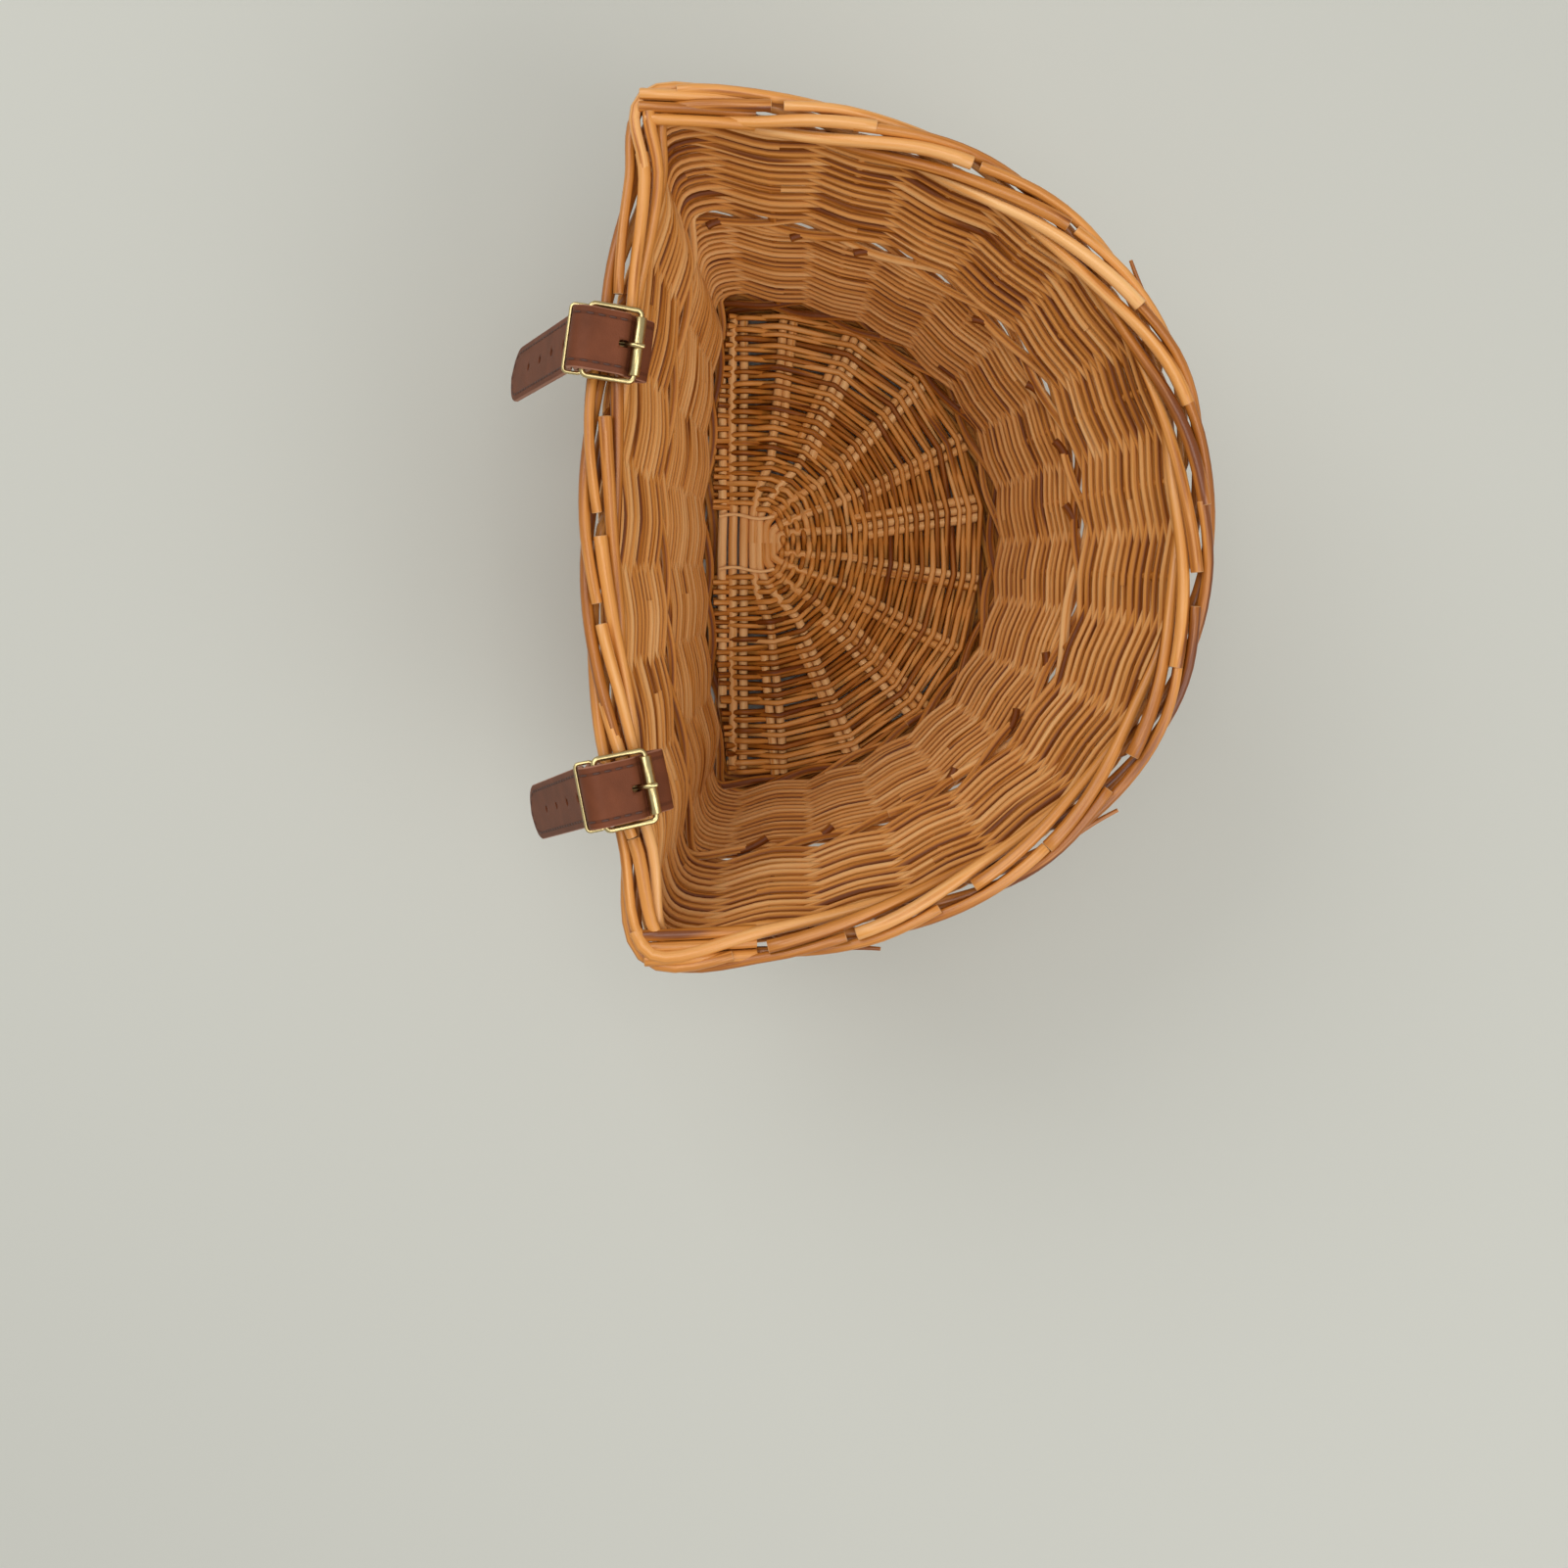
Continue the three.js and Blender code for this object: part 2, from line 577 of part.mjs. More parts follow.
function strapTailGeometry(swayDeg) {
  const half = STRAP_WIDTH / 2;
  const sway = Math.tan(rad(swayDeg));
  const outline = new THREE.Shape();
  const body = TAIL_LENGTH - half;
  outline.moveTo(-half, 0);
  outline.lineTo(half, 0);
  outline.lineTo(half + sway * body, -body);
  outline.absarc(sway * body, -body, half, 0, -Math.PI, true);
  const blade = new THREE.ExtrudeGeometry(outline, {
    depth: STRAP_THICKNESS,
    bevelEnabled: false,
    curveSegments: 8,
  });
  blade.translate(0, 0, -STRAP_THICKNESS / 2);
  const knuckle = new THREE.CylinderGeometry(STRAP_THICKNESS / 2, STRAP_THICKNESS / 2, STRAP_WIDTH, 12);
  knuckle.rotateZ(Math.PI / 2);
  const holes = [];
  for (let n = 0; n < TAIL_HOLES; n += 1) {
    const down = FIRST_TAIL_HOLE + n * HOLE_PITCH;
    const hole = new THREE.CylinderGeometry(HOLE_DIAMETER / 2, HOLE_DIAMETER / 2, 2 * STRAP_THICKNESS, 8);
    hole.rotateX(Math.PI / 2);
    hole.translate(sway * down, -down, 0);
    holes.push(hole);
  }
  const tail = cut(join([blade, knuckle]), holes);
  tail.rotateX(Math.PI / 2 + rad(TAIL_SPREAD_DEG));
  return tail.translate(0, TAIL_Y, TAIL_HINGE_HEIGHT);
}

// A closed wire loop with rounded corners; corner points are given in its own plane
function wireLoop(halfWidth, from, to, corner, wire) {
  const outline = new THREE.Path();
  outline.absarc(halfWidth - corner, to - corner, corner, 0, Math.PI / 2, false);
  outline.absarc(-halfWidth + corner, to - corner, corner, Math.PI / 2, Math.PI, false);
  outline.absarc(-halfWidth + corner, from + corner, corner, Math.PI, 1.5 * Math.PI, false);
  outline.absarc(halfWidth - corner, from + corner, corner, 1.5 * Math.PI, 2 * Math.PI, false);
  const path = [];
  for (const p of outline.getPoints(1)) {
    const point = new THREE.Vector3(p.x, p.y, 0);
    if (path.every((other) => other.distanceTo(point) > wire / 10)) {
      path.push(point);
    }
  }
  return rodGeometry(path, path.map(() => UP), wire / 2, wire / 2, 6, true);
}

function buckleFrameGeometry() {
  const halfWidth = STRAP_WIDTH / 2 + BUCKLE_SIDE_GAP + BUCKLE_WIRE / 2;
  const frame = wireLoop(halfWidth, 0, BUCKLE_PITCH, BUCKLE_CORNER, BUCKLE_WIRE);
  frame.rotateX(buckleAngle);
  return frame.translate(0, heel.x, heel.y);
}

function rollerGeometry() {
  const inner = BUCKLE_WIRE / 2 + ROLLER_CLEARANCE;
  const straight = STRAP_WIDTH / 2 + BUCKLE_SIDE_GAP + BUCKLE_WIRE / 2 - BUCKLE_CORNER;
  const half = straight - ROLLER_END_GAP;
  const profile = [
    new THREE.Vector2(inner, -half),
    new THREE.Vector2(ROLLER_R, -half),
    new THREE.Vector2(ROLLER_R, half),
    new THREE.Vector2(inner, half),
    new THREE.Vector2(inner, -half),
  ];
  const roller = new THREE.LatheGeometry(profile, 16);
  roller.rotateZ(Math.PI / 2);
  const at = inBuckle(BUCKLE_PITCH, 0);
  return roller.translate(0, at.x, at.y);
}

function prongGeometry() {
  const inner = BUCKLE_WIRE / 2 + ROLLER_CLEARANCE;
  const half = PRONG_EYE_WIDTH / 2;
  const profile = [
    new THREE.Vector2(inner, -half),
    new THREE.Vector2(prongEyeR, -half),
    new THREE.Vector2(prongEyeR, half),
    new THREE.Vector2(inner, half),
    new THREE.Vector2(inner, -half),
  ];
  const eye = new THREE.LatheGeometry(profile, 16);
  eye.rotateZ(Math.PI / 2);
  eye.translate(0, heel.x, heel.y);
  const root = new THREE.Vector3(0, prongRoot.x, prongRoot.y);
  const tip = new THREE.Vector3(0, prongTip.x, prongTip.y);
  const arm = rodGeometry([root, tip], [UP, UP], PRONG_DIAMETER / 2, PRONG_DIAMETER / 2, 8);
  return join([eye, arm]);
}

function keeperGeometry() {
  const halfWidth = STRAP_WIDTH / 2 + BUCKLE_SIDE_GAP + KEEPER_WIRE / 2;
  const margin = STRAP_THICKNESS / 2 + KEEPER_CLEARANCE + KEEPER_WIRE / 2;
  const keeper = wireLoop(halfWidth, OUTER_LAYER - margin, TAIL_Y + margin, KEEPER_CORNER, KEEPER_WIRE);
  return keeper.translate(0, 0, KEEPER_HEIGHT);
}

STRAP_STATIONS.forEach((station, n) => {
  const strap = new THREE.Group();
  const outward = wallOutward(station, RIM_HEIGHT);
  strap.position.copy(wallPoint(station, RIM_HEIGHT));
  strap.rotation.z = Math.atan2(outward.y, outward.x) - Math.PI / 2;
  basket.add(strap);
  const label = n + 1;
  addMesh(`strap_loop_${label}`, strapLoopGeometry(), LEATHER, strap);
  addMesh(`strap_tail_${label}`, strapTailGeometry(STRAP_SWAY_DEG[n]), LEATHER, strap);
  addMesh(`buckle_frame_${label}`, buckleFrameGeometry(), BRASS, strap);
  addMesh(`buckle_roller_${label}`, rollerGeometry(), BRASS, strap);
  addMesh(`buckle_prong_${label}`, prongGeometry(), BRASS, strap);
  addMesh(`strap_keeper_${label}`, keeperGeometry(), BRASS, strap);
});

// The origin is the middle of the whole basket's plan, on the surface that it stands on
basket.updateMatrixWorld(true);
const bounds = new THREE.Box3().setFromObject(basket, true);
const middle = bounds.getCenter(new THREE.Vector3());
basket.position.set(-middle.x, -middle.y, -bounds.min.z);

export default basket;
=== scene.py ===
"""Looks of a D-shaped willow bicycle basket with two buckled leather straps."""

import math
import random

import bpy
from bpy.props import FloatProperty, FloatVectorProperty, IntProperty, PointerProperty
from mathutils import Matrix, Vector


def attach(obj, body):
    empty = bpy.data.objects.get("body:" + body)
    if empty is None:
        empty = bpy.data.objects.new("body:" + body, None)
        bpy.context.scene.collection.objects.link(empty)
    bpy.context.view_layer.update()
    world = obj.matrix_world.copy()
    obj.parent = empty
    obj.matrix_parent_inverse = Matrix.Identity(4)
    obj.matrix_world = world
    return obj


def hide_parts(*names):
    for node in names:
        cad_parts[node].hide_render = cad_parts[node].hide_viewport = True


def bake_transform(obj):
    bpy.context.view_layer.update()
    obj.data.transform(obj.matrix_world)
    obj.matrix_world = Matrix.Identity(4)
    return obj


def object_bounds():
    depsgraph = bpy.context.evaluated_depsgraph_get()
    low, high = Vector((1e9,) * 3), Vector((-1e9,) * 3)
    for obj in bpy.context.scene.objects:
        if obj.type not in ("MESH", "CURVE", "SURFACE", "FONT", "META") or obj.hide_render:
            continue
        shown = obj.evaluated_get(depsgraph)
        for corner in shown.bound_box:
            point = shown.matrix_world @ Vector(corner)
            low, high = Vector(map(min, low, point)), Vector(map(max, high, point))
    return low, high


bl_info = {
    "name": "Willow bicycle basket",
    "version": (1, 0, 0),
    "blender": (4, 5, 0),
    "location": "View3D > Sidebar > Basket",
    "description": "Weaves a D-shaped willow basket with buckled leather straps over its packed solids",
    "category": "Object",
}

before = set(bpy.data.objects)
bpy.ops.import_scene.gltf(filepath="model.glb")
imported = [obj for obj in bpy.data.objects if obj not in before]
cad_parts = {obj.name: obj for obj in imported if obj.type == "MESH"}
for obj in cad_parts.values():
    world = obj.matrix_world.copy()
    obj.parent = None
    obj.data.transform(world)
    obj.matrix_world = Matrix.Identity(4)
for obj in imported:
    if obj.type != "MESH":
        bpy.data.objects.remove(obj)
CAD_LOW, CAD_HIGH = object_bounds()
MM = 0.001

# Plan of the wall in millimetres, as the solids have it. The back's middle lies at y = 0.
RIM_WIDTH = 342.0
RIM_DEPTH = 242.0
RIM_BOW = 27.0
RIM_HEIGHT = 204.0
FOOT_WIDTH = 240.0
FOOT_DEPTH = 142.0
FOOT_BOW = 9.0
BACK_LEAN = 42.0
RIM_CORNER_PUSH = 5.0
FOOT_CORNER_PUSH = 2.0
FRONT_ROUNDNESS = 2.2
BACK_STAKES = 7
FRONT_STAKES = 14
BACK_END_SPACES = 1.6
BACK_SHIFT_SPACES = 0.1444
STATIONS = BACK_STAKES + FRONT_STAKES + 2
BORDER_RADIUS = 8.7
BASE_HEIGHT = 13.3
BACK_MIDDLE_Y = CAD_LOW.y / MM + BORDER_RADIUS + RIM_DEPTH
STATION_STEP = 0.01
UP = Vector((0.0, 0.0, 1.0))

# Side view of a strap, in the frame whose origin is the border's centre, y outward and z up
STRAP_STATIONS = (2.5, 6.5)
STRAP_SWAY = (math.radians(-4.5), math.radians(-6.5))
HUG_RADIUS = 10.3
INNER_SLACK = (5.0, 7.0)
OVER_BEND = ((16.5, -1.0), (16.1, 0.4), (15.6, 1.6), (14.8, 2.5), (13.8, 3.0), (12.4, 3.32), (7.0, 4.41))
OVER_LEAVES = math.radians(78.6)
OUTER_LAYER = 13.0
WRAP_RADIUS = 3.0
OVER_RADIUS = 5.7
HEEL = Vector((10.0, 13.5))
TAIL_LAYER = HEEL.x + OVER_RADIUS
TAIL_HINGE = 2.5
TAIL_LENGTH = 104.0
TAIL_SPREAD = math.radians(20.0)
TAIL_PIN = Vector((TAIL_LAYER, TAIL_HINGE))
TAIL_DOWN = Vector((math.sin(TAIL_SPREAD), -math.cos(TAIL_SPREAD)))
TAIL_OUT = Vector((math.cos(TAIL_SPREAD), math.sin(TAIL_SPREAD)))
TAIL_BEND = 8.0
BUCKLE_ANGLE = math.radians(190.966)
BUCKLE_PITCH = 21.0
BUCKLE_WIRE = 3.0
ROLLER_RADIUS = 2.35
KEEPER_HEIGHT = 9.3
KEEPER_WIRE = 1.6


# Sizes and colours that a user would change

def millimetres(name, description, default):
    """A length that a user may change."""
    return FloatProperty(name=name, description=f"{description}, in millimetres", default=default)


def colour(name, description, default):
    """A colour that a user may change."""
    return FloatVectorProperty(name=name, description=description, subtype="COLOR", default=default)


class BasketWillow(bpy.types.PropertyGroup):
    """Sizes of the willow rods and rows."""

    upper_rod: millimetres("Upper rod", "Mean diameter of the upper band's rods", 3.9)
    upper_pitch: millimetres("Upper row pitch", "Height of one row of the upper band", 3.15)
    lower_rod: millimetres("Lower rod", "Mean diameter of the lower band's rods", 3.2)
    lower_pitch: millimetres("Lower row pitch", "Height of one row of the lower band", 2.6)
    border_rod: millimetres("Border rod", "Diameter of a rod of the rolled border", 5.2)
    stake: millimetres("Stake", "Diameter of an upright stake", 4.6)
    base_rows: IntProperty(name="Base rows", description="Rows woven round the fan of the base", default=39)
    base_rod: millimetres("Base rod", "Mean diameter of the base's woven rods", 3.15)
    seed: IntProperty(name="Seed", description="Seed of the rods' small differences", default=7)


class BasketStrap(bpy.types.PropertyGroup):
    """Sizes of the leather straps."""

    width: millimetres("Width", "Width of a strap", 25.0)
    thickness: millimetres("Thickness", "Thickness of the leather", 2.4)
    stitch_pitch: millimetres("Stitch pitch", "Distance from one stitch to the next", 4.6)
    stitch_margin: millimetres("Stitch margin", "Distance of the stitches from the edge", 3.0)
    hole: millimetres("Hole", "Diameter of a punched hole", 3.2)


class BasketFinish(bpy.types.PropertyGroup):
    """Colours of the finishes."""

    willow_dark: colour("Willow, dark", "Darkest willow", (0.165, 0.039, 0.002))
    # The deep tone is the colour of the darker rods, and the colour that the painted crevice shade darkens
    # the willow towards
    willow_deep: colour("Willow, deep", "Willow in the crevices", (0.39, 0.126, 0.012))
    willow_middle: colour("Willow, middle", "Usual willow", (0.64, 0.266, 0.054))
    willow_light: colour("Willow, light", "Palest willow", (0.85, 0.51, 0.215))
    willow_cut: colour("Willow, cut", "Cut ends of the rods", (0.55, 0.3, 0.12))
    leather: colour("Leather", "Face of the straps", (0.15, 0.045, 0.019))
    raw_edge: colour("Raw edge", "Cut edge of the straps", (0.42, 0.2, 0.13))
    thread: colour("Thread", "Stitches of the straps", (0.07, 0.026, 0.016))
    brass: colour("Brass", "Buckles and keepers", (0.62, 0.5, 0.24))
    floor: colour("Floor", "Plain pale floor", (0.527, 0.533, 0.486))


# The wall: closed curves through the stakes at the border and at the foot

def closed_curve(points):
    """A smooth closed curve through the points, which takes a station and gives a point."""
    count = len(points)

    def at(station):
        whole = math.floor(station)
        part = station - whole
        before, here, after, beyond = (points[(whole + step) % count] for step in (-1, 0, 1, 2))
        first = math.sqrt((here - before).length)
        middle = math.sqrt((after - here).length)
        last = math.sqrt((beyond - after).length)
        leave = (here - before) / first - (after - before) / (first + middle) + (after - here) / middle
        reach = (after - here) / middle - (beyond - here) / (middle + last) + (beyond - after) / last
        leave = leave * middle
        reach = reach * middle
        square = part * part
        cube = square * part
        return (
            here * (2 * cube - 3 * square + 1)
            + after * (3 * square - 2 * cube)
            + leave * (cube - 2 * square + part)
            + reach * (cube - square)
        )

    return at


def front_point(angle, half, depth):
    """A point of the rounded front, from the corner at -X to the one at +X."""
    power = 2 / FRONT_ROUNDNESS
    across = math.copysign(abs(math.cos(angle)) ** power, math.cos(angle))
    return Vector((-half * across, -depth * max(math.sin(angle), 0.0) ** power, 0.0))


def front_angles(half, depth):
    """Angles that space the front stakes evenly."""
    samples = 2000
    lengths = [0.0]
    before = front_point(0.0, half, depth)
    for i in range(1, samples + 1):
        here = front_point(math.pi * i / samples, half, depth)
        lengths.append(lengths[-1] + (here - before).length)
        before = here
    angles = []
    for k in range(1, FRONT_STAKES + 1):
        goal = lengths[-1] * k / (FRONT_STAKES + 1)
        step = next(i for i, length in enumerate(lengths) if length >= goal)
        angles.append(math.pi * step / samples)
    return angles


def outline(width, depth, bow, middle_y, corner_push):
    """The wall's plan at one height; the push draws out the two back corners."""
    half = width / 2
    corner_y = middle_y - bow
    points = [Vector((half, corner_y + corner_push, 0.0))]
    for k in range(BACK_STAKES):
        steps = (BACK_STAKES - 1) / 2 - k
        share = 2 * (BACK_SHIFT_SPACES + steps) / (BACK_STAKES - 1 + BACK_END_SPACES)
        points.append(Vector((half * share, corner_y + bow * (1 - share ** 2), 0.0)))
    points.append(Vector((-half, corner_y + corner_push, 0.0)))
    for angle in front_angles(half, depth - bow):
        points.append(front_point(angle, half, depth - bow) + Vector((0.0, corner_y, 0.0)))
    return closed_curve(points)


hinge_curve = outline(RIM_WIDTH, RIM_DEPTH, RIM_BOW, BACK_MIDDLE_Y, 0.0)
rim_curve = outline(RIM_WIDTH, RIM_DEPTH, RIM_BOW, BACK_MIDDLE_Y, RIM_CORNER_PUSH)
foot_curve = outline(FOOT_WIDTH, FOOT_DEPTH, FOOT_BOW, BACK_MIDDLE_Y - BACK_LEAN, FOOT_CORNER_PUSH)


def wall_point(station, height):
    """The wall's centre line at a station and height."""
    share = height / RIM_HEIGHT
    point = foot_curve(station).lerp(rim_curve(station), share)
    return Vector((point.x, point.y, height))


def wall_outward(station, height):
    """The level direction out of the wall."""
    along = wall_point(station + STATION_STEP, height) - wall_point(station - STATION_STEP, height)
    out = along.cross(UP)
    out.z = 0.0
    return out.normalized()


def wall_offset(station, height, outward):
    """A point beside the wall's centre line."""
    return wall_point(station, height) + wall_outward(station, height) * outward


# Objects, meshes and node trees

def clamp(value, low, high):
    """A value held between two limits."""
    return min(max(value, low), high)


def link_object(name, data):
    """A new object at the origin, linked into the scene."""
    thing = bpy.data.objects.new(name, data)
    bpy.context.scene.collection.objects.link(thing)
    return thing


def remove_object(thing):
    """Removes an object and its mesh."""
    mesh = thing.data
    bpy.data.objects.remove(thing)
    bpy.data.meshes.remove(mesh)


def new_mesh(name, points, edges, faces, **numbers):
    """A mesh whose points may carry numbers of their own."""
    mesh = bpy.data.meshes.new(name)
    mesh.from_pydata(points, edges, faces)
    for label, values in numbers.items():
        layer = mesh.attributes.new(label, "FLOAT", "POINT")
        layer.data.foreach_set("value", values)
    return mesh


def evaluated_piece(name, source):
    """A plain mesh object made from another object's finished shape; the other one is removed."""
    graph = bpy.context.evaluated_depsgraph_get()
    mesh = bpy.data.meshes.new_from_object(source.evaluated_get(graph))
    mesh.name = name
    remove_object(source)
    return link_object(name, mesh)


def give(tree, socket, value):
    """Links an input to another node's output, or sets its value."""
    if isinstance(value, bpy.types.NodeSocket):
        tree.links.new(value, socket)
    else:
        socket.default_value = value


def add_node(tree, kind, settings=None, **inputs):
    """A node with its settings made and its named inputs given."""
    node = tree.nodes.new(kind)
    for name, value in (settings or {}).items():
        setattr(node, name, value)
    for name, value in inputs.items():
        give(tree, node.inputs[name.replace("_", " ")], value)
    return node


def math_node(tree, operation, first, second, kind="ShaderNodeMath"):
    """Combines two values, each an output or a number."""
    node = add_node(tree, kind, {"operation": operation})
    give(tree, node.inputs[0], first)
    give(tree, node.inputs[1], second)
    return node.outputs[0]


def new_tree(name, *inputs):
    """A modifier's node tree with its named inputs; gives the tree and what the inputs hold."""
    tree = bpy.data.node_groups.new(name, "GeometryNodeTree")
    tree.is_modifier = True
    face = tree.interface
    for way in ("INPUT", "OUTPUT"):
        face.new_socket(name="Geometry", in_out=way, socket_type="NodeSocketGeometry")
    for label, kind, default in inputs:
        socket = face.new_socket(name=label, in_out="INPUT", socket_type=kind)
        if default is not None:
            socket.default_value = default
    return tree, tree.nodes.new("NodeGroupInput").outputs


def named_attribute(tree, name, kind):
    """A value that the points carry."""
    node = add_node(tree, "GeometryNodeInputNamedAttribute", {"data_type": kind}, Name=name)
    return node.outputs["Attribute"]


def captured(tree, kind, label, shape, value):
    """Keeps a value on a shape while the shape changes; gives the shape and the value."""
    node = tree.nodes.new("GeometryNodeCaptureAttribute")
    node.capture_items.new(kind, label)
    give(tree, node.inputs["Geometry"], shape)
    give(tree, node.inputs[label], value)
    return node.outputs["Geometry"], node.outputs[label]


def finish_tree(tree, shape, finish):
    """Ends a tree with smooth, real geometry in its finish."""
    smooth = add_node(tree, "GeometryNodeSetShadeSmooth", Geometry=shape)
    real = add_node(tree, "GeometryNodeRealizeInstances", Geometry=smooth.outputs["Geometry"])
    paint = add_node(tree, "GeometryNodeSetMaterial", Geometry=real.outputs["Geometry"], Material=finish)
    add_node(tree, "NodeGroupOutput", Geometry=paint.outputs["Geometry"])


def set_input(modifier, tree, name, value):
    """Sets a tree's named input on a modifier by the socket's identifier."""
    for item in tree.interface.items_tree:
        if item.item_type == "SOCKET" and item.in_out == "INPUT" and item.name == name:
            modifier[item.identifier] = value
            return
    raise KeyError(name)


def grown_piece(name, mesh, tree, **inputs):
    """Runs a node tree on a mesh and keeps the result as a plain piece."""
    source = link_object(mesh.name, mesh)
    modifier = source.modifiers.new(tree.name, "NODES")
    modifier.node_group = tree
    for label, value in inputs.items():
        set_input(modifier, tree, label, value)
    return evaluated_piece(name, source)


# Rods: lists of points with a radius each, swept by one node tree

ROD_TREE = "Rods along paths"
CUT_EASE = 0.35
CUT_SHRINK = 0.9
GRAIN_SHIFT = 7.31


class Rod:
    """One willow rod or wire: its points and radii in millimetres, and how pale it is."""

    def __init__(self, points, radii, shade=0.5, closed=False, cut_start=False, cut_end=False):
        self.points = points
        self.radii = radii
        self.shade = shade
        self.closed = closed
        self.cut_start = cut_start
        self.cut_end = cut_end

    def with_cut_faces(self):
        """Points, radii and paleness, with one more point just beyond each cut end."""
        path = list(self.points)
        sizes = list(self.radii)
        pale = [0.0] * len(path)
        if self.cut_end:
            path.append(path[-1] + (path[-1] - path[-2]).normalized() * CUT_EASE)
            sizes.append(sizes[-1] * CUT_SHRINK)
            pale.append(1.0)
        if self.cut_start:
            path.insert(0, path[0] + (path[0] - path[1]).normalized() * CUT_EASE)
            sizes.insert(0, sizes[0] * CUT_SHRINK)
            pale.insert(0, 1.0)
        return path, sizes, pale


def rod_tree():
    """Sweeps a round section along edges, with the radius and shade of their points."""
    tree = bpy.data.node_groups.get(ROD_TREE)
    if tree:
        return tree
    tree, given = new_tree(
        ROD_TREE,
        ("Sides", "NodeSocketInt", 8),
        ("Streak length", "NodeSocketFloat", 30.0),
        ("Finish", "NodeSocketMaterial", None),
    )
    path = add_node(tree, "GeometryNodeMeshToCurve", Mesh=given["Geometry"]).outputs["Curve"]
    path = add_node(tree, "GeometryNodeSetCurveNormal", {"mode": "Z_UP"}, Curve=path).outputs["Curve"]
    length = tree.nodes.new("GeometryNodeSplineParameter").outputs["Length"]
    path, along = captured(tree, "FLOAT", "Along", path, length)
    circle = add_node(tree, "GeometryNodeCurvePrimitiveCircle", Radius=1.0, Resolution=given["Sides"])
    place = tree.nodes.new("GeometryNodeInputPosition").outputs["Position"]
    section, around = captured(tree, "VECTOR", "Round", circle.outputs["Curve"], place)
    sweep = add_node(
        tree,
        "GeometryNodeCurveToMesh",
        Curve=path,
        Profile_Curve=section,
        Scale=named_attribute(tree, "rod_radius", "FLOAT"),
        Fill_Caps=True,
    )
    streak = math_node(tree, "MULTIPLY", along, given["Streak length"])
    streak = math_node(tree, "ADD", streak, named_attribute(tree, "rod_start", "FLOAT"))
    lift = add_node(tree, "ShaderNodeCombineXYZ", Z=streak).outputs["Vector"]
    grain = math_node(tree, "ADD", around, lift, "ShaderNodeVectorMath")
    store = add_node(
        tree,
        "GeometryNodeStoreNamedAttribute",
        {"data_type": "FLOAT_VECTOR", "domain": "POINT"},
        Geometry=sweep.outputs["Mesh"],
        Name="grain",
        Value=grain,
    )
    finish_tree(tree, store.outputs["Geometry"], given["Finish"])
    return tree


def rods_piece(name, rods, sides, finish):
    """Sweeps a list of rods into one mesh."""
    points = []
    edges = []
    radii = []
    shades = []
    cuts = []
    starts = []
    for number, rod in enumerate(rods):
        first = len(points)
        path, sizes, pale = rod.with_cut_faces()
        count = len(path)
        points += [point * MM for point in path]
        edges += [(first + i, first + i + 1) for i in range(count - 1)]
        radii += [size * MM for size in sizes]
        shades += [rod.shade] * count
        cuts += pale
        starts += [number * GRAIN_SHIFT] * count
        if rod.closed:
            edges.append((first + count - 1, first))
    mesh = new_mesh(
        f"{name} paths", points, edges, [], rod_radius=radii, shade=shades, cut_end=cuts, rod_start=starts
    )
    return grown_piece(name, mesh, rod_tree(), Sides=sides, Finish=finish)


# Materials: each noise has its scale, its detail and its stretch along a rod

STREAKS = (1.0, 3.0, (2.2, 2.2, 1.0))
PATCHES = (0.35, 1.0, (0.4, 0.4, 1.0))
KNOTS = (0.7, 0.0, (1.0, 1.0, 0.8))
FIBRES = (2.0, 4.0, (3.0, 3.0, 1.0))
STREAK_STRENGTH = 0.55
PATCH_STRENGTH = 0.7
KNOT_LEVEL = 0.66
KNOT_STRENGTH = 3.0
# Painted shade in the crevices: how closely it keeps to the sides that a rod's neighbours touch, and how
# dark it paints them
CREVICE_SHADE_POWER = 4.0
CREVICE_SHADE_STRENGTH = 0.6
DEEP_TONE = 0.25
MIDDLE_TONE = 0.5
THIN_VARNISH = 0.05
BARK_RELIEF = (0.35, 0.5 * MM)
MOTTLE = (90.0, 4.0)
HIDE_DARK = 0.62
HIDE_LIGHT = 1.35
HIDE_SEAM = 0.4
SEAM_HALF_WIDTH = 0.7 * MM
SEAM_STRENGTH = 0.45
PEBBLES = 1400.0
HIDE_RELIEF = (0.25, 0.3 * MM)
WEAR = (400.0, 3.0)
BRASS_DULL = 0.75
BRASS_BRIGHT = 1.15


def new_material(name, **inputs):
    """A material with inputs of its shader set; gives the material, its tree and its shader."""
    material = bpy.data.materials.new(name)
    material.use_nodes = True
    tree = material.node_tree
    shader = tree.nodes["Principled BSDF"]
    for label, value in inputs.items():
        shader.inputs[label.replace("_", " ")].default_value = value
    return material, tree, shader


def opaque(tint, strength=1.0):
    """A colour with full cover, as it is or darker or lighter."""
    return (*(strength * part for part in tint), 1.0)


def mixed(tree, factor, first, second):
    """A mix of two colours."""
    node = add_node(tree, "ShaderNodeMix", {"data_type": "RGBA"}, Factor=factor, A=first, B=second)
    return node.outputs["Result"]


def roughen(tree, shader, height, strength, distance):
    """Gives a shader its colourless relief."""
    bump = add_node(tree, "ShaderNodeBump", Strength=strength, Distance=distance, Height=height)
    give(tree, shader.inputs["Normal"], bump.outputs["Normal"])


def attribute_node(tree, name, output="Fac"):
    """One of a mesh's own attributes."""
    return add_node(tree, "ShaderNodeAttribute", {"attribute_name": name}).outputs[output]


def noise_node(tree, vector, scale, detail, size=None):
    """Noise on a vector, which may be stretched first."""
    if size:
        vector = add_node(tree, "ShaderNodeMapping", Scale=size, Vector=vector).outputs["Vector"]
    return add_node(tree, "ShaderNodeTexNoise", Scale=scale, Detail=detail, Vector=vector).outputs["Fac"]


def swing(tree, noise, strength):
    """A noise turned into a change of tone to both sides."""
    return math_node(tree, "MULTIPLY", math_node(tree, "SUBTRACT", noise, 0.5), strength)


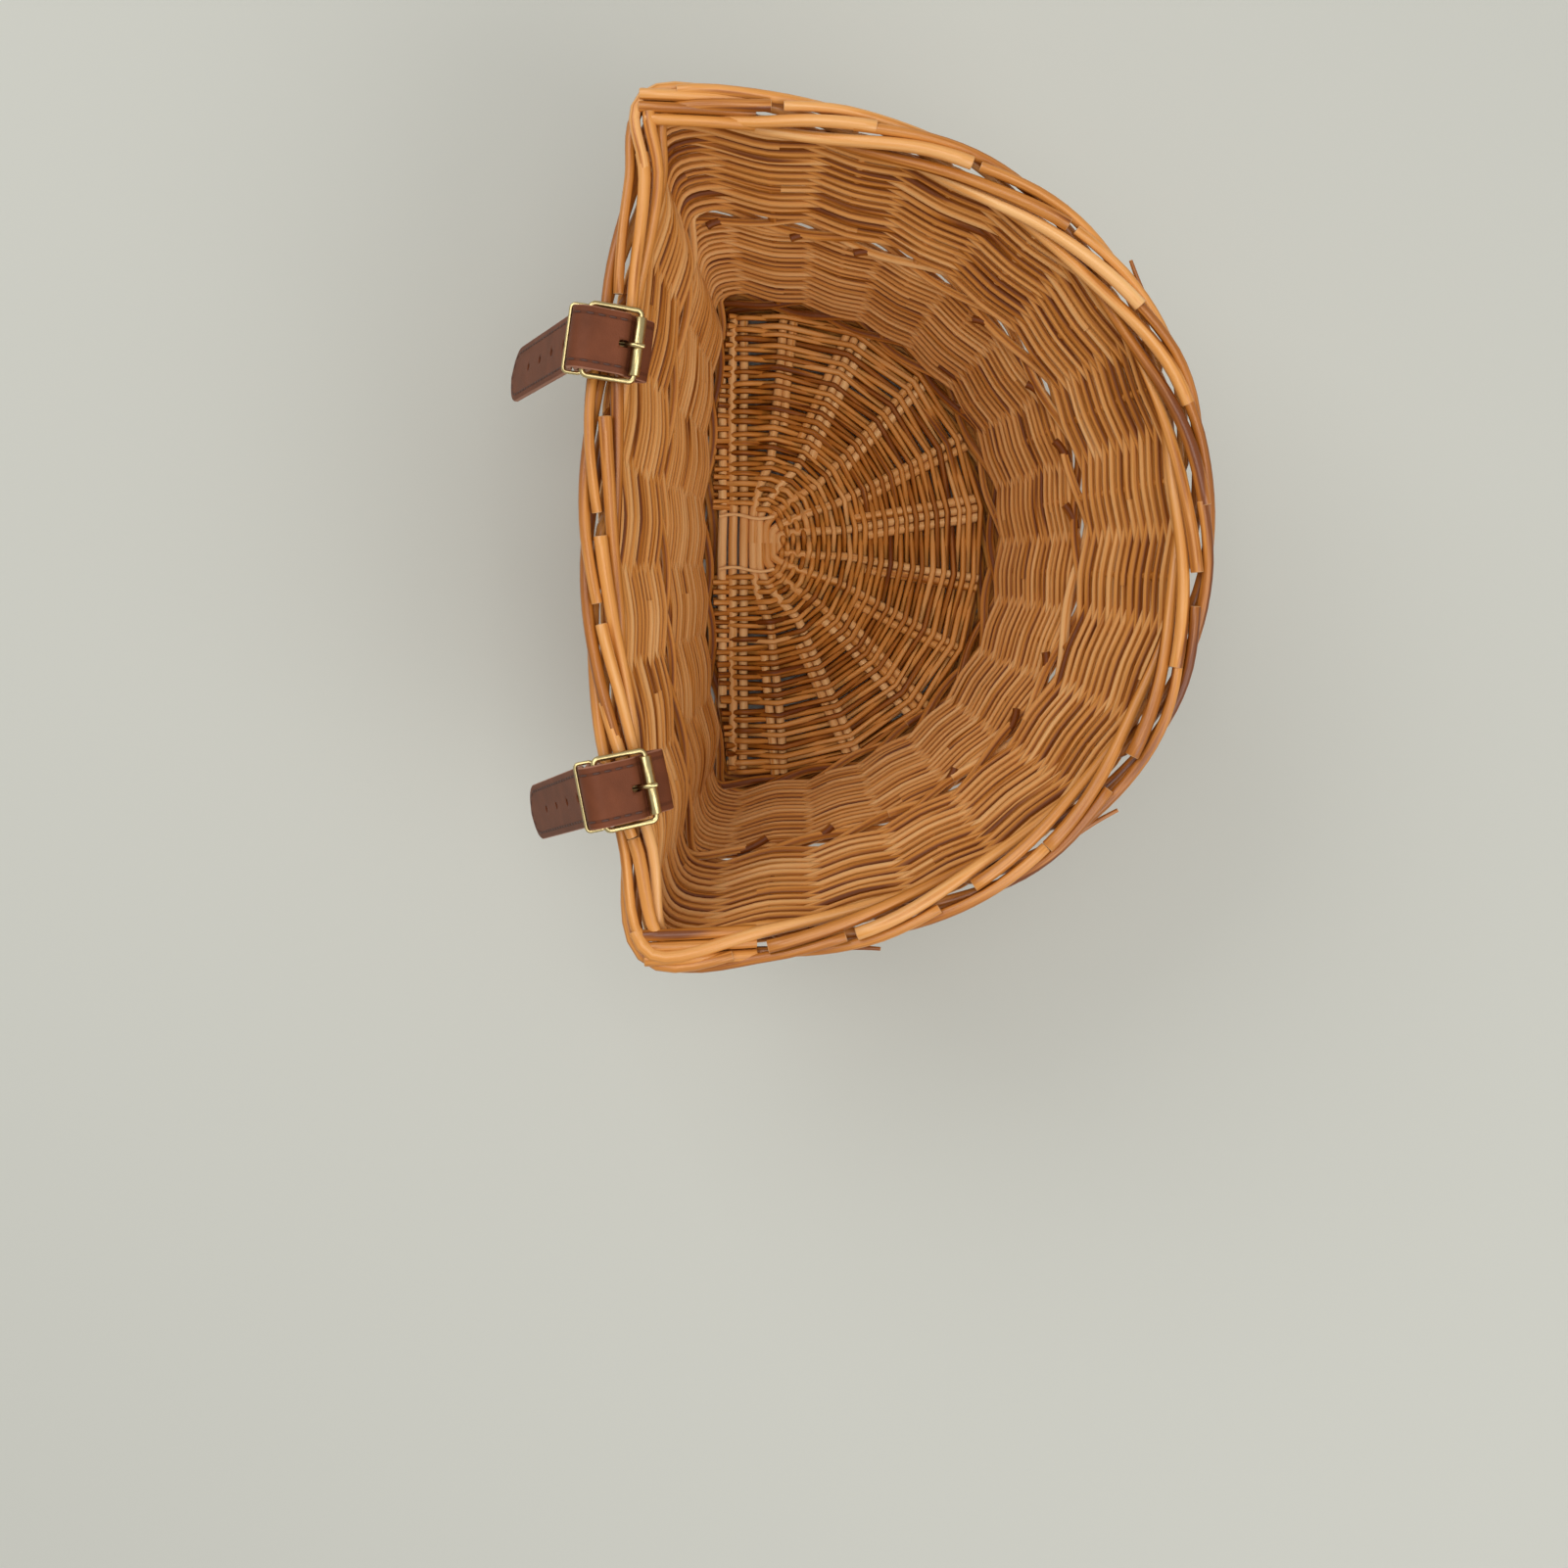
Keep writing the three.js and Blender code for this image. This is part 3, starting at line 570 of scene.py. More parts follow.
def willow_finish(name, shift=0.0, crevice=None, varnish=THIN_VARNISH):
    """Varnished brown willow: each rod has its own tone, with lengthwise streaks and pale cut ends.

    The crevice is the axis of a rod's section on which its neighbours lie; towards it the colour is darkened
    as painted shade, standing in for the shadow in the gaps between rods.
    """
    colours = bpy.context.scene.basket_finish
    material, tree, shader = new_material(
        name, Roughness=0.48, Specular_IOR_Level=0.22, Coat_Weight=varnish, Coat_Roughness=0.25
    )
    grain = attribute_node(tree, "grain", "Vector")
    streaks = noise_node(tree, grain, *STREAKS)
    patches = noise_node(tree, grain, *PATCHES)
    knots = noise_node(tree, grain, *KNOTS)
    tone = math_node(tree, "ADD", attribute_node(tree, "shade"), shift)
    tone = math_node(tree, "ADD", tone, swing(tree, streaks, STREAK_STRENGTH))
    tone = math_node(tree, "ADD", tone, swing(tree, patches, PATCH_STRENGTH))
    knot = math_node(tree, "MAXIMUM", math_node(tree, "SUBTRACT", knots, KNOT_LEVEL), 0.0)
    tone = math_node(tree, "SUBTRACT", tone, math_node(tree, "MULTIPLY", knot, KNOT_STRENGTH))
    # Painted shade: darkens the rod on the sides that face its neighbours, where shadow falls in the gaps
    if crevice:
        side = add_node(tree, "ShaderNodeSeparateXYZ", Vector=grain).outputs[crevice]
        side = math_node(tree, "ABSOLUTE", side, 0.0)
        depth = math_node(tree, "POWER", side, CREVICE_SHADE_POWER)
        tone = math_node(tree, "SUBTRACT", tone, math_node(tree, "MULTIPLY", depth, CREVICE_SHADE_STRENGTH))
    ramp = add_node(tree, "ShaderNodeValToRGB", Fac=tone)
    stops = ramp.color_ramp.elements
    stops[0].color = opaque(colours.willow_dark)
    stops[1].color = opaque(colours.willow_light)
    stops.new(DEEP_TONE).color = opaque(colours.willow_deep)
    stops.new(MIDDLE_TONE).color = opaque(colours.willow_middle)
    cut = attribute_node(tree, "cut_end")
    bark = mixed(tree, cut, ramp.outputs["Color"], opaque(colours.willow_cut))
    give(tree, shader.inputs["Base Color"], bark)
    roughen(tree, shader, noise_node(tree, grain, *FIBRES), *BARK_RELIEF)
    return material


def leather_finish(name):
    """Brown leather with a fine grain, darker stitch lines and pale raw edges."""
    colours = bpy.context.scene.basket_finish
    strap = bpy.context.scene.basket_strap
    material, tree, shader = new_material(name, Roughness=0.55, Specular_IOR_Level=0.14)
    place = tree.nodes.new("ShaderNodeTexCoord").outputs["Object"]
    mottle = noise_node(tree, place, *MOTTLE)
    hide = mixed(tree, mottle, opaque(colours.leather, HIDE_DARK), opaque(colours.leather, HIDE_LIGHT))
    seam_line = (strap.width / 2 - strap.stitch_margin) * MM
    off_seam = math_node(tree, "SUBTRACT", attribute_node(tree, "across"), seam_line)
    off_seam = math_node(tree, "ABSOLUTE", off_seam, 0.0)
    seam = math_node(tree, "LESS_THAN", off_seam, SEAM_HALF_WIDTH)
    seam = math_node(tree, "MULTIPLY", seam, SEAM_STRENGTH)
    hide = mixed(tree, seam, hide, opaque(colours.leather, HIDE_SEAM))
    hide = mixed(tree, attribute_node(tree, "raw_edge"), hide, opaque(colours.raw_edge))
    give(tree, shader.inputs["Base Color"], hide)
    pebbles = add_node(tree, "ShaderNodeTexVoronoi", Scale=PEBBLES, Vector=place)
    roughen(tree, shader, pebbles.outputs["Distance"], *HIDE_RELIEF)
    return material


def brass_finish(name):
    """Bright brass with faint wear."""
    tint = bpy.context.scene.basket_finish.brass
    material, tree, shader = new_material(name, Metallic=1.0, Roughness=0.28)
    place = tree.nodes.new("ShaderNodeTexCoord").outputs["Object"]
    wear = noise_node(tree, place, *WEAR)
    metal = mixed(tree, wear, opaque(tint, BRASS_DULL), opaque(tint, BRASS_BRIGHT))
    give(tree, shader.inputs["Base Color"], metal)
    return material


def thread_finish(name):
    """Dark waxed thread."""
    tint = bpy.context.scene.basket_finish.thread
    return new_material(name, Base_Color=opaque(tint), Roughness=0.6)[0]


def dress(piece, slot, body, *nodes):
    """Sets a piece on its body, in place of the solids that it stands for."""
    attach(piece, body)
    if nodes:
        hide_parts(*nodes)


# Willow of the wall: heights and rods in millimetres

UPPER_BAND = (111.2, 197.0)
LOWER_BAND = (20.5, 105.0)
MIDDLE_WALE_HEIGHT = 108.1
MIDDLE_WALE_ROD = 4.1
FOOT_BORDER_HEIGHT = 6.4
FOOT_BORDER_ROD = 4.9
FOOT_WALE_HEIGHT = 16.4
FOOT_WALE_ROD = 4.0
WALL_STEPS = 8
WALL_SIDES = 8
UPPER_TONE = 0.2
LOWER_TONE = 0.24
WALE_TONE = 0.16
# The foot's tone is set higher as painted light, to offset the shade that falls on it at the bottom of the
# wall
FOOT_TONE = 0.02
ROD_SPANS = (9, 11, 13, 16)
ROW_REACH = 0.56
ROW_SLIP = 0.34
ROW_SIZES = (0.78, 1.1)
ROW_SHADES = (0.5, 0.11, 0.2, 0.8)
ROW_TAPER = (1.12, 0.24)
KINK = 0.97
KINK_SHARE = 0.45
WALE_REACH = 0.82
WALE_SWING = 1.25
WALE_BIAS = 0.25
WALE_LIMIT = 1.05
WALE_OVERRUN = 3
WALE_STARTS = (0, 4, 7)
WALE_SIZES = (0.93, 1.07)
WALE_SHADES = (0.5, 0.08, 0.2, 0.8)
WALE_TAPER = (1.1, 0.2)
FLAT_ROPE = 0.75
WALE_BUTTS = (8.6, 9.5, 11.4, 12.6, 13.5, 15.6, 16.5, 17.4, 18.6, 20.5, 21.4, 22.4)
BUTT_STEPS = 5
BUTT_SPAN = 0.34
BUTT_RISES = (-1.0, 2.0)
BUTT_RADII = (1.7, 2.1)
BUTT_SHADES = (-0.25, 0.05)
BUTT_DROP = 1.0
BUTT_INSIDE = -2.6
BUTT_TURN = -3.8


def willow_piece(name, rods, sides, finish, slot, *nodes):
    """Makes one piece of the basket from rods."""
    dress(rods_piece(name, rods, sides, finish), slot, "basket", *nodes)


def rod_shade(chance, mean, spread, low, high):
    """A rod's own tone, drawn by chance within limits."""
    return clamp(chance.gauss(mean, spread), low, high)


def tapered(size, taper, share):
    """A rod's radius at a share of its length, from the thick butt to the thin tip."""
    butt, drop = taper
    return size * (butt - drop * clamp(share, 0.0, 1.0))


def woven_band(band, pitch, diameter, stake, chance):
    """Rods woven in front of one stake and behind the next, climbing round the wall.

    The odd number of stakes makes each row pass a stake on the other side than the row below.
    """
    bottom, top = band
    rows = int((top - bottom - diameter) / pitch)
    pitch = (top - bottom - diameter) / rows
    total = (rows + 1) * STATIONS
    reach = ROW_REACH * (stake + diameter) / 2
    rods = []
    station = 0
    while station < total - 2:
        length = chance.choice(ROD_SPANS)
        end = min(station + length, total)
        size = diameter / 2 * chance.uniform(*ROW_SIZES)
        shade = rod_shade(chance, *ROW_SHADES)
        drift = [chance.uniform(-ROW_SLIP, ROW_SLIP) for _ in range(length + 3)]
        steps = (end - station) * WALL_STEPS
        points = []
        radii = []
        for i in range(-1, steps + 2):
            at = station + i / WALL_STEPS
            row = clamp((at / STATIONS) * pitch, 0.0, rows * pitch)
            whole = max(int(i / WALL_STEPS), 0)
            part = max(i / WALL_STEPS, 0.0) - whole
            height = bottom + diameter / 2 + row + drift[whole] * (1 - part) + drift[whole + 1] * part
            wave = math.cos(math.pi * at)
            kinked = math.asin(KINK * wave) / math.asin(KINK)
            outward = reach * ((1 - KINK_SHARE) * wave + KINK_SHARE * kinked)
            points.append(wall_offset(at, height, outward))
            radii.append(tapered(size, ROW_TAPER, i / steps))
        rods.append(Rod(points, radii, shade))
        station = end
    return rods


def wale_rods(strands, height, diameter, stake, chance):
    """Rods twisted round the line of stakes, each of two lengths, one round of the basket."""
    across = WALE_REACH * (stake + diameter) / 2
    rise = diameter / 2 / math.sin(math.pi / 3) if strands == 3 else diameter * FLAT_ROPE
    rods = []
    for strand in range(strands):
        begin = strand + chance.choice(WALE_STARTS)
        for part in range(2):
            start = begin + part * (STATIONS // 2)
            span = STATIONS // 2 + part * (STATIONS % 2)
            shade = rod_shade(chance, *WALE_SHADES)
            size = diameter / 2 * chance.uniform(*WALE_SIZES)
            steps = span * WALL_STEPS
            points = []
            radii = []
            for i in range(-WALE_OVERRUN, steps + WALE_OVERRUN + 1):
                at = start + i / WALL_STEPS
                angle = 2 * math.pi * (at - strand) / strands
                outward = across * min(math.cos(angle) * WALE_SWING + WALE_BIAS, WALE_LIMIT)
                points.append(wall_offset(at, height + rise * math.sin(angle), outward))
                radii.append(tapered(size, WALE_TAPER, i / steps))
            rods.append(Rod(points, radii, shade, cut_start=True, cut_end=True))
    return rods


def wale_butts(height, chance):
    """Dark butts of the wale's rods, cut off short on the inside of the wall."""
    rods = []
    for station in WALE_BUTTS:
        rise = chance.uniform(*BUTT_RISES)
        size = chance.uniform(*BUTT_RADII)
        points = []
        for i in range(BUTT_STEPS + 1):
            part = i / BUTT_STEPS
            outward = BUTT_INSIDE + BUTT_TURN * part ** 2
            points.append(wall_offset(station + BUTT_SPAN * part, height - BUTT_DROP + rise * part, outward))
        rods.append(Rod(points, [size] * len(points), chance.uniform(*BUTT_SHADES)))
    return rods


class BASKET_OT_wall_weave(bpy.types.Operator):
    """Weave the upper and lower bands of the wall"""

    bl_idname = "basket.wall_weave"
    bl_label = "Wall weave"

    def execute(self, context):
        willow = context.scene.basket_willow
        chance = random.Random(willow.seed)
        rods = woven_band(UPPER_BAND, willow.upper_pitch, willow.upper_rod, willow.stake, chance)
        finish = willow_finish("Willow, upper band", UPPER_TONE, "Y")
        nodes = ("upper_weaver_1", "upper_weaver_2")
        willow_piece("upper_weave", rods, WALL_SIDES, finish, "willow_upper", *nodes)
        rods = woven_band(LOWER_BAND, willow.lower_pitch, willow.lower_rod, willow.stake, chance)
        finish = willow_finish("Willow, lower band", LOWER_TONE, "Y")
        nodes = ("lower_weaver_1", "lower_weaver_2")
        willow_piece("lower_weave", rods, WALL_SIDES, finish, "willow_lower", *nodes)
        return {"FINISHED"}


class BASKET_OT_wales(bpy.types.Operator):
    """Twist the middle wale, the foot wale and the foot border"""

    bl_idname = "basket.wales"
    bl_label = "Wales"

    def execute(self, context):
        willow = context.scene.basket_willow
        chance = random.Random(willow.seed + 1)
        rods = wale_rods(3, MIDDLE_WALE_HEIGHT, MIDDLE_WALE_ROD, willow.stake, chance)
        rods += wale_butts(MIDDLE_WALE_HEIGHT, random.Random(willow.seed + 4))
        finish = willow_finish("Willow, middle wale", WALE_TONE, "Y")
        nodes = ("mid_wale_1", "mid_wale_2", "mid_wale_3")
        willow_piece("mid_wale", rods, WALL_SIDES, finish, "willow_wale", *nodes)
        rods = wale_rods(4, FOOT_BORDER_HEIGHT, FOOT_BORDER_ROD, willow.stake, chance)
        rods += wale_rods(3, FOOT_WALE_HEIGHT, FOOT_WALE_ROD, willow.stake, chance)
        finish = willow_finish("Willow, foot", FOOT_TONE, "Y")
        nodes = ("foot_border_1", "foot_border_2", "foot_border_3")
        willow_piece("foot_border", rods, WALL_SIDES, finish, "willow_foot", *nodes)
        return {"FINISHED"}


# Stakes and the rolled border: sizes in millimetres, places along the rim in stakes

BORDER_TURN = 6.2
BORDER_STEP = math.radians(60.0)
BORDER_STEPS = 7
BORDER_SIDES = 10
# The border's tone is set lower as painted shade, to offset the stronger lamp light on the top of the rim
BORDER_TONE = -0.21
BORDER_VARNISH = 0.6
SWAY_TURN = 0.11
SWAY_TURN_PACE = 1.9
SWAY_LIFT = 0.4
SWAY_LIFT_PACE = 2.7
STAKE_FOOT = 10.0
STAKE_SHORT = 14.0
STAKE_STEPS = 10
STAKE_SIZES = (0.92, 1.06)
STAKE_SHADES = (0.55, 0.15, 0.42, 0.95)
STAKE_LEAN = 0.5
STAKE_TAPER = 0.12
STAKE_RUN = 2.95
STAKE_RUN_SLIP = 0.25
STAKE_DIP = 1.4
STAKE_DIP_RUN = 0.6
LAID_IN_START = 3.0
LAID_IN_SLIP = 0.3
LAID_IN_END = 5.7
LAID_IN_SIZES = (1.0, 1.16)
LAID_IN_SHADES = (0.58, 0.15, 0.42, 0.98)
LAID_IN_SINK = 0.7
LAID_IN_SINK_STEPS = 4
LAID_IN_TAPER = 0.22
CORNER_LANES = (-4.6, 0.6, 5.4)
CORNER_STEPS = 6
CORNER_START = 0.9
CORNER_REACHES = (2.5, 6.0)
CORNER_SIZES = (0.86, 1.0)
CORNER_SHADES = (0.45, 0.75)
CORNER_SINK = 0.6
CORNER_DIP = 4.0
CORNER_ROUND = 0.02
STRAY_TIPS = (9.5, 12.1, 17.6)
TIP_STEPS = 8
TIP_SPAN = 0.55
TIP_RISE = 1.5
TIP_GAP = 1.2
TIP_SPRING = 4.2
TIP_RADIUS = 1.25
TIP_TAPER = 0.45
TIP_SHADES = (0.35, 0.6)


def handmade_sway(chance):
    """A rod's small wander round and off the border, which takes its place along the rod."""
    turn_start = chance.uniform(0.0, 2 * math.pi)
    lift_start = chance.uniform(0.0, 2 * math.pi)

    def at(along):
        hold = min(along, 1.0)
        turn = SWAY_TURN * math.sin(SWAY_TURN_PACE * along + turn_start)
        lift = SWAY_LIFT * math.sin(SWAY_LIFT_PACE * along + lift_start)
        return hold * turn, hold * lift

    return at


def rolled_point(station, along, sway, sink):
    """A point of a rod that winds round the border from below, some stakes along from its own."""
    turn, lift = sway(along)
    phase = -math.pi / 2 + BORDER_STEP * along + turn
    radius = BORDER_TURN - sink + lift
    return wall_offset(station + along, RIM_HEIGHT + radius * math.sin(phase), radius * math.cos(phase))


def stake_rods(willow, chance):
    """Stakes up the wall; each top bends over and runs along the rim until it is cut off on top."""
    rods = []
    for station in range(STATIONS):
        shade = rod_shade(chance, *STAKE_SHADES)
        size = willow.border_rod / 2 * chance.uniform(*STAKE_SIZES)
        lean = chance.uniform(-STAKE_LEAN, STAKE_LEAN)
        points = []
        radii = []
        for i in range(STAKE_STEPS + 1):
            height = STAKE_FOOT + (RIM_HEIGHT - BORDER_TURN - STAKE_SHORT) * i / STAKE_STEPS
            points.append(wall_offset(station, height, lean * math.sin(i)))
            radii.append(willow.stake / 2)
        run = STAKE_RUN + chance.uniform(-STAKE_RUN_SLIP, STAKE_RUN_SLIP)
        sway = handmade_sway(chance)
        steps = int(run * BORDER_STEPS)
        for i in range(1, steps + 1):
            along = run * i / steps
            dip = STAKE_DIP * max(along - run + STAKE_DIP_RUN, 0.0)
            points.append(rolled_point(station, along, sway, dip))
            radii.append(size * (1.0 - STAKE_TAPER * i / steps))
        rods.append(Rod(points, radii, shade, cut_end=True))
    return rods


def border_rods(willow, chance):
    """Rods laid into the top of the border: a cut butt shows on top, and the rod winds on inside."""
    rods = []
    for station in range(STATIONS):
        shade = rod_shade(chance, *LAID_IN_SHADES)
        size = willow.border_rod / 2 * chance.uniform(*LAID_IN_SIZES)
        start = LAID_IN_START + chance.uniform(-LAID_IN_SLIP, LAID_IN_SLIP)
        sway = handmade_sway(chance)
        steps = int((LAID_IN_END - start) * BORDER_STEPS)
        points = []
        radii = []
        for i in range(steps + 1):
            along = start + (LAID_IN_END - start) * i / steps
            sink = LAID_IN_SINK * max(1.0 - i / LAID_IN_SINK_STEPS, 0.0)
            points.append(rolled_point(station, along, sway, sink))
            radii.append(size * (1.0 - LAID_IN_TAPER * i / steps))
        rods.append(Rod(points, radii, shade, cut_start=True))
    return rods


def corner_butts(willow, chance):
    """Butts of the side's rods, which run straight on over the two back corners."""
    rods = []
    for corner, way in ((0, -1.0), (BACK_STAKES + 1, 1.0)):
        end = wall_point(corner, RIM_HEIGHT)
        start = wall_point(corner + CORNER_START * way, RIM_HEIGHT)
        along = (end - start).normalized()
        aside = along.cross(UP) * way
        for lane in CORNER_LANES:
            reach = chance.uniform(*CORNER_REACHES)
            points = []
            for i in range(CORNER_STEPS + 1):
                part = i / CORNER_STEPS
                place = start.lerp(end, part) + along * reach * part + aside * lane
                dip = CORNER_DIP * (1 - part) ** 2
                points.append(place + UP * (BORDER_TURN - CORNER_SINK - dip - CORNER_ROUND * lane ** 2))
            size = willow.border_rod / 2 * chance.uniform(*CORNER_SIZES)
            rods.append(Rod(points, [size] * len(points), chance.uniform(*CORNER_SHADES), cut_end=True))
    return rods


def stray_tips(chance):
    """Thin rod ends that were trimmed a little proud of the border."""
    rods = []
    for station in STRAY_TIPS:
        points = []
        radii = []
        for i in range(TIP_STEPS + 1):
            part = i / TIP_STEPS
            height = RIM_HEIGHT - TIP_RISE + TIP_RISE * part
            outward = BORDER_TURN + TIP_GAP + TIP_SPRING * part ** 2
            points.append(wall_offset(station + TIP_SPAN * part, height, outward))
            radii.append(TIP_RADIUS - TIP_TAPER * part)
        rods.append(Rod(points, radii, chance.uniform(*TIP_SHADES), cut_end=True))
    return rods


class BASKET_OT_border(bpy.types.Operator):
    """Set up the stakes and roll the border"""

    bl_idname = "basket.border"
    bl_label = "Stakes and border"

    def execute(self, context):
        willow = context.scene.basket_willow
        chance = random.Random(willow.seed + 2)
        finish = willow_finish("Willow, stakes and border", BORDER_TONE, varnish=BORDER_VARNISH)
        nodes = [f"stake_{number + 1:02d}" for number in range(STATIONS)]
        rods = stake_rods(willow, chance)
        willow_piece("stakes_and_border", rods, BORDER_SIDES, finish, "willow_stake", *nodes)
        rods = border_rods(willow, chance) + corner_butts(willow, chance) + stray_tips(chance)
        willow_piece("border_rods", rods, BORDER_SIDES, finish, "willow_stake")
        return {"FINISHED"}


# Base: back sticks, bent ribs and rows woven across both, in millimetres

BASE_RIBS = 10
SOLID_RIBS = 7
STICK_Y = (-48.6, -54.0, -59.4)
STICK_HALVES = (84.0, 116.0, 116.0)
STICK_STEPS = 12
STICK_SIDES = 10
STICK_RADII = (2.3, 2.7)
STICK_SHADES = (0.55, 0.8)
BASE_WOBBLE = 0.5
FRAME_TONE = 0.16
HUB = Vector((0.0, -70.0))
RIB_FIRST = 5.0
RIB_FAN = 170.0
RIB_Y = -64.2
RIB_NEST = 3.3
RIB_PACE = 0.5
RIB_START = (13.0, 2.4)
RIB_CORNER = (24.0, 4.6)
RIB_REACH = (118.0, 110.0)
RIB_BEND = 42.0
RIB_LANES = ((0.0, 4.8), (0.0, 4.7, -4.7), (0.0, 4.8))
RIB_LANE_STARTS = (44.0, 58.0)
RIB_RADII = (2.2, 2.55)
RIB_SHADES = (0.4, 0.75)
RIB_BEND_STEPS = 8
RIB_ARM_STEPS = 12
RIB_SIDES = 8
BINDING_X = 13.5
BINDING_START = -47.0
BINDING_LENGTH = 28.0
BINDING_STEPS = 8
BINDING_LIFT = 3.4
BINDING_SWAY = 1.2
BINDING_PACE = 0.8
BINDING_RADIUS = 0.9
BINDING_SHADE = 0.85
BACK_GAP = 1.5
FAN_HALF = (17.0, 100.0)
FAN_DEPTH = (9.5, 101.0)
FAN_LOOSE = (0.4, 0.6)
FAN_SLIP = 0.7
LEG_SLIP = 1.5
FAN_ROW_SIZES = (0.84, 1.12)
FAN_ROW_SHADES = (0.38, 0.13, 0.05, 0.8)
FAN_ROW_STEPS = 6
FAN_ROW_SIDES = 7
FAN_ROW_TONE = 0.04
STICK_LIFT = 3.3
RIB_LIFT = 2.5


def base_point(x, y, z):
    """A point of the base from its place in the basket's own plan."""
    return Vector((x, BACK_MIDDLE_Y + y, BASE_HEIGHT + z))


def rib_angle(number):
    """Direction of a rib from +X towards the front."""
    return math.radians(RIB_FIRST + number * RIB_FAN / (BASE_RIBS - 1))


def fan_radius(angle, half, depth):
    """Distance from the hub to a rounded row."""
    power = FRONT_ROUNDNESS
    across = abs(math.cos(angle)) / half
    ahead = abs(math.sin(angle)) / depth
    return (across ** power + ahead ** power) ** (-1 / power)


def back_edge(x):
    """The wall's inner face behind the base, at a place along the back."""
    return -(BACK_LEAN + FOOT_BOW * (2 * x / FOOT_WIDTH) ** 2) - BACK_GAP


def rib_path(number, lane, first, chance):
    """One rod of a rib: straight beside the sticks in the middle, then swept out to the front."""
    angle = rib_angle(number)
    nest = min(number, BASE_RIBS - 1 - number)
    side = 1.0 if number < BASE_RIBS / 2 else -1.0
    ahead = Vector((math.cos(angle), -math.sin(angle)))
    aside = Vector((ahead.y, -ahead.x))
    level = RIB_Y - RIB_NEST * nest
    bend_start = Vector((side * (RIB_START[0] - RIB_START[1] * nest), level))
    bend_corner = Vector((side * (RIB_CORNER[0] - RIB_CORNER[1] * nest), level))
    bend_end = HUB + ahead * RIB_BEND
    tip = HUB + ahead * fan_radius(angle, *RIB_REACH)
    places = [Vector((0.0, level))]
    for i in range(RIB_BEND_STEPS + 1):
        part = i / RIB_BEND_STEPS
        places.append(bend_start.lerp(bend_corner, part).lerp(bend_corner.lerp(bend_end, part), part))
    for i in range(1, RIB_ARM_STEPS + 1):
        places.append(bend_end.lerp(tip, i / RIB_ARM_STEPS))
    if first > 0.0:
        places = [p for p in places[1:] if (p - HUB).length >= first]
    wobble = chance.uniform(-BASE_WOBBLE, BASE_WOBBLE)
    return [p + aside * (lane + wobble * math.sin(RIB_PACE * i)) for i, p in enumerate(places)]


def base_frame_rods(chance):
    """Straight sticks along the back, bent ribs nested round the hub, and two bindings."""
    sticks = []
    for half, y in zip(STICK_HALVES, STICK_Y):
        points = []
        for i in range(STICK_STEPS + 1):
            wobble = chance.uniform(-BASE_WOBBLE, BASE_WOBBLE)
            points.append(base_point(half * (2 * i / STICK_STEPS - 1), y + wobble, 0.0))
        radii = [chance.uniform(*STICK_RADII)] * len(points)
        sticks.append(Rod(points, radii, chance.uniform(*STICK_SHADES), cut_start=True, cut_end=True))
    ribs = []
    for number in range(BASE_RIBS):
        for lane in RIB_LANES[number % len(RIB_LANES)]:
            first = 0.0 if lane == 0.0 else chance.uniform(*RIB_LANE_STARTS)
            points = [base_point(p.x, p.y, 0.0) for p in rib_path(number, lane, first, chance)]
            radii = [chance.uniform(*RIB_RADII)] * len(points)
            shade = chance.uniform(*RIB_SHADES)
            ribs.append(Rod(points, radii, shade, cut_start=first > 0, cut_end=True))
    bindings = []
    for x in (-BINDING_X, BINDING_X):
        points = []
        for i in range(BINDING_STEPS + 1):
            y = BINDING_START - BINDING_LENGTH * i / BINDING_STEPS
            sway = BINDING_SWAY * math.sin(i * BINDING_PACE)
            points.append(base_point(x + sway, y, BINDING_LIFT))
        bindings.append(Rod(points, [BINDING_RADIUS] * len(points), BINDING_SHADE))
    return sticks, ribs, bindings


def base_row_rods(willow, chance):
    """Rows that cross the back sticks, pass over and under the ribs and cross the sticks again."""
    rods = []
    for row in range(willow.base_rows):
        share = row / (willow.base_rows - 1)
        half = FAN_HALF[0] + FAN_HALF[1] * share + chance.uniform(-FAN_SLIP, FAN_SLIP)
        depth = FAN_DEPTH[0] + FAN_DEPTH[1] * share
        loose = FAN_LOOSE[0] + FAN_LOOSE[1] * share ** 2
        fan = []
        for number in range(BASE_RIBS):
            angle = rib_angle(number)
            reach = fan_radius(angle, half, depth) + chance.uniform(-loose, loose)
            fan.append(Vector((reach * math.cos(angle), HUB.y - reach * math.sin(angle))))
        legs = []
        for side in (1.0, -1.0):
            slip = chance.uniform(-LEG_SLIP, LEG_SLIP)
            end = Vector((side * half + slip, back_edge(half)))
            legs.append([end, Vector((side * half + slip / 2, STICK_Y[-1]))])
        marks = legs[0] + fan + legs[1][::-1]
        size = willow.base_rod / 2 * chance.uniform(*FAN_ROW_SIZES)
        shade = rod_shade(chance, *FAN_ROW_SHADES)
        points = []
        last = len(marks) - 1
        for k in range(last):
            lift = STICK_LIFT if k < 2 or k >= last - 2 else RIB_LIFT
            for i in range(FAN_ROW_STEPS):
                part = i / FAN_ROW_STEPS
                place = marks[k].lerp(marks[k + 1], part)
                points.append(base_point(place.x, place.y, lift * math.cos(math.pi * (k + part + row))))
        end = marks[-1]
        points.append(base_point(end.x, end.y, STICK_LIFT * math.cos(math.pi * (last + row))))
        rods.append(Rod(points, [size] * len(points), shade))
    return rods


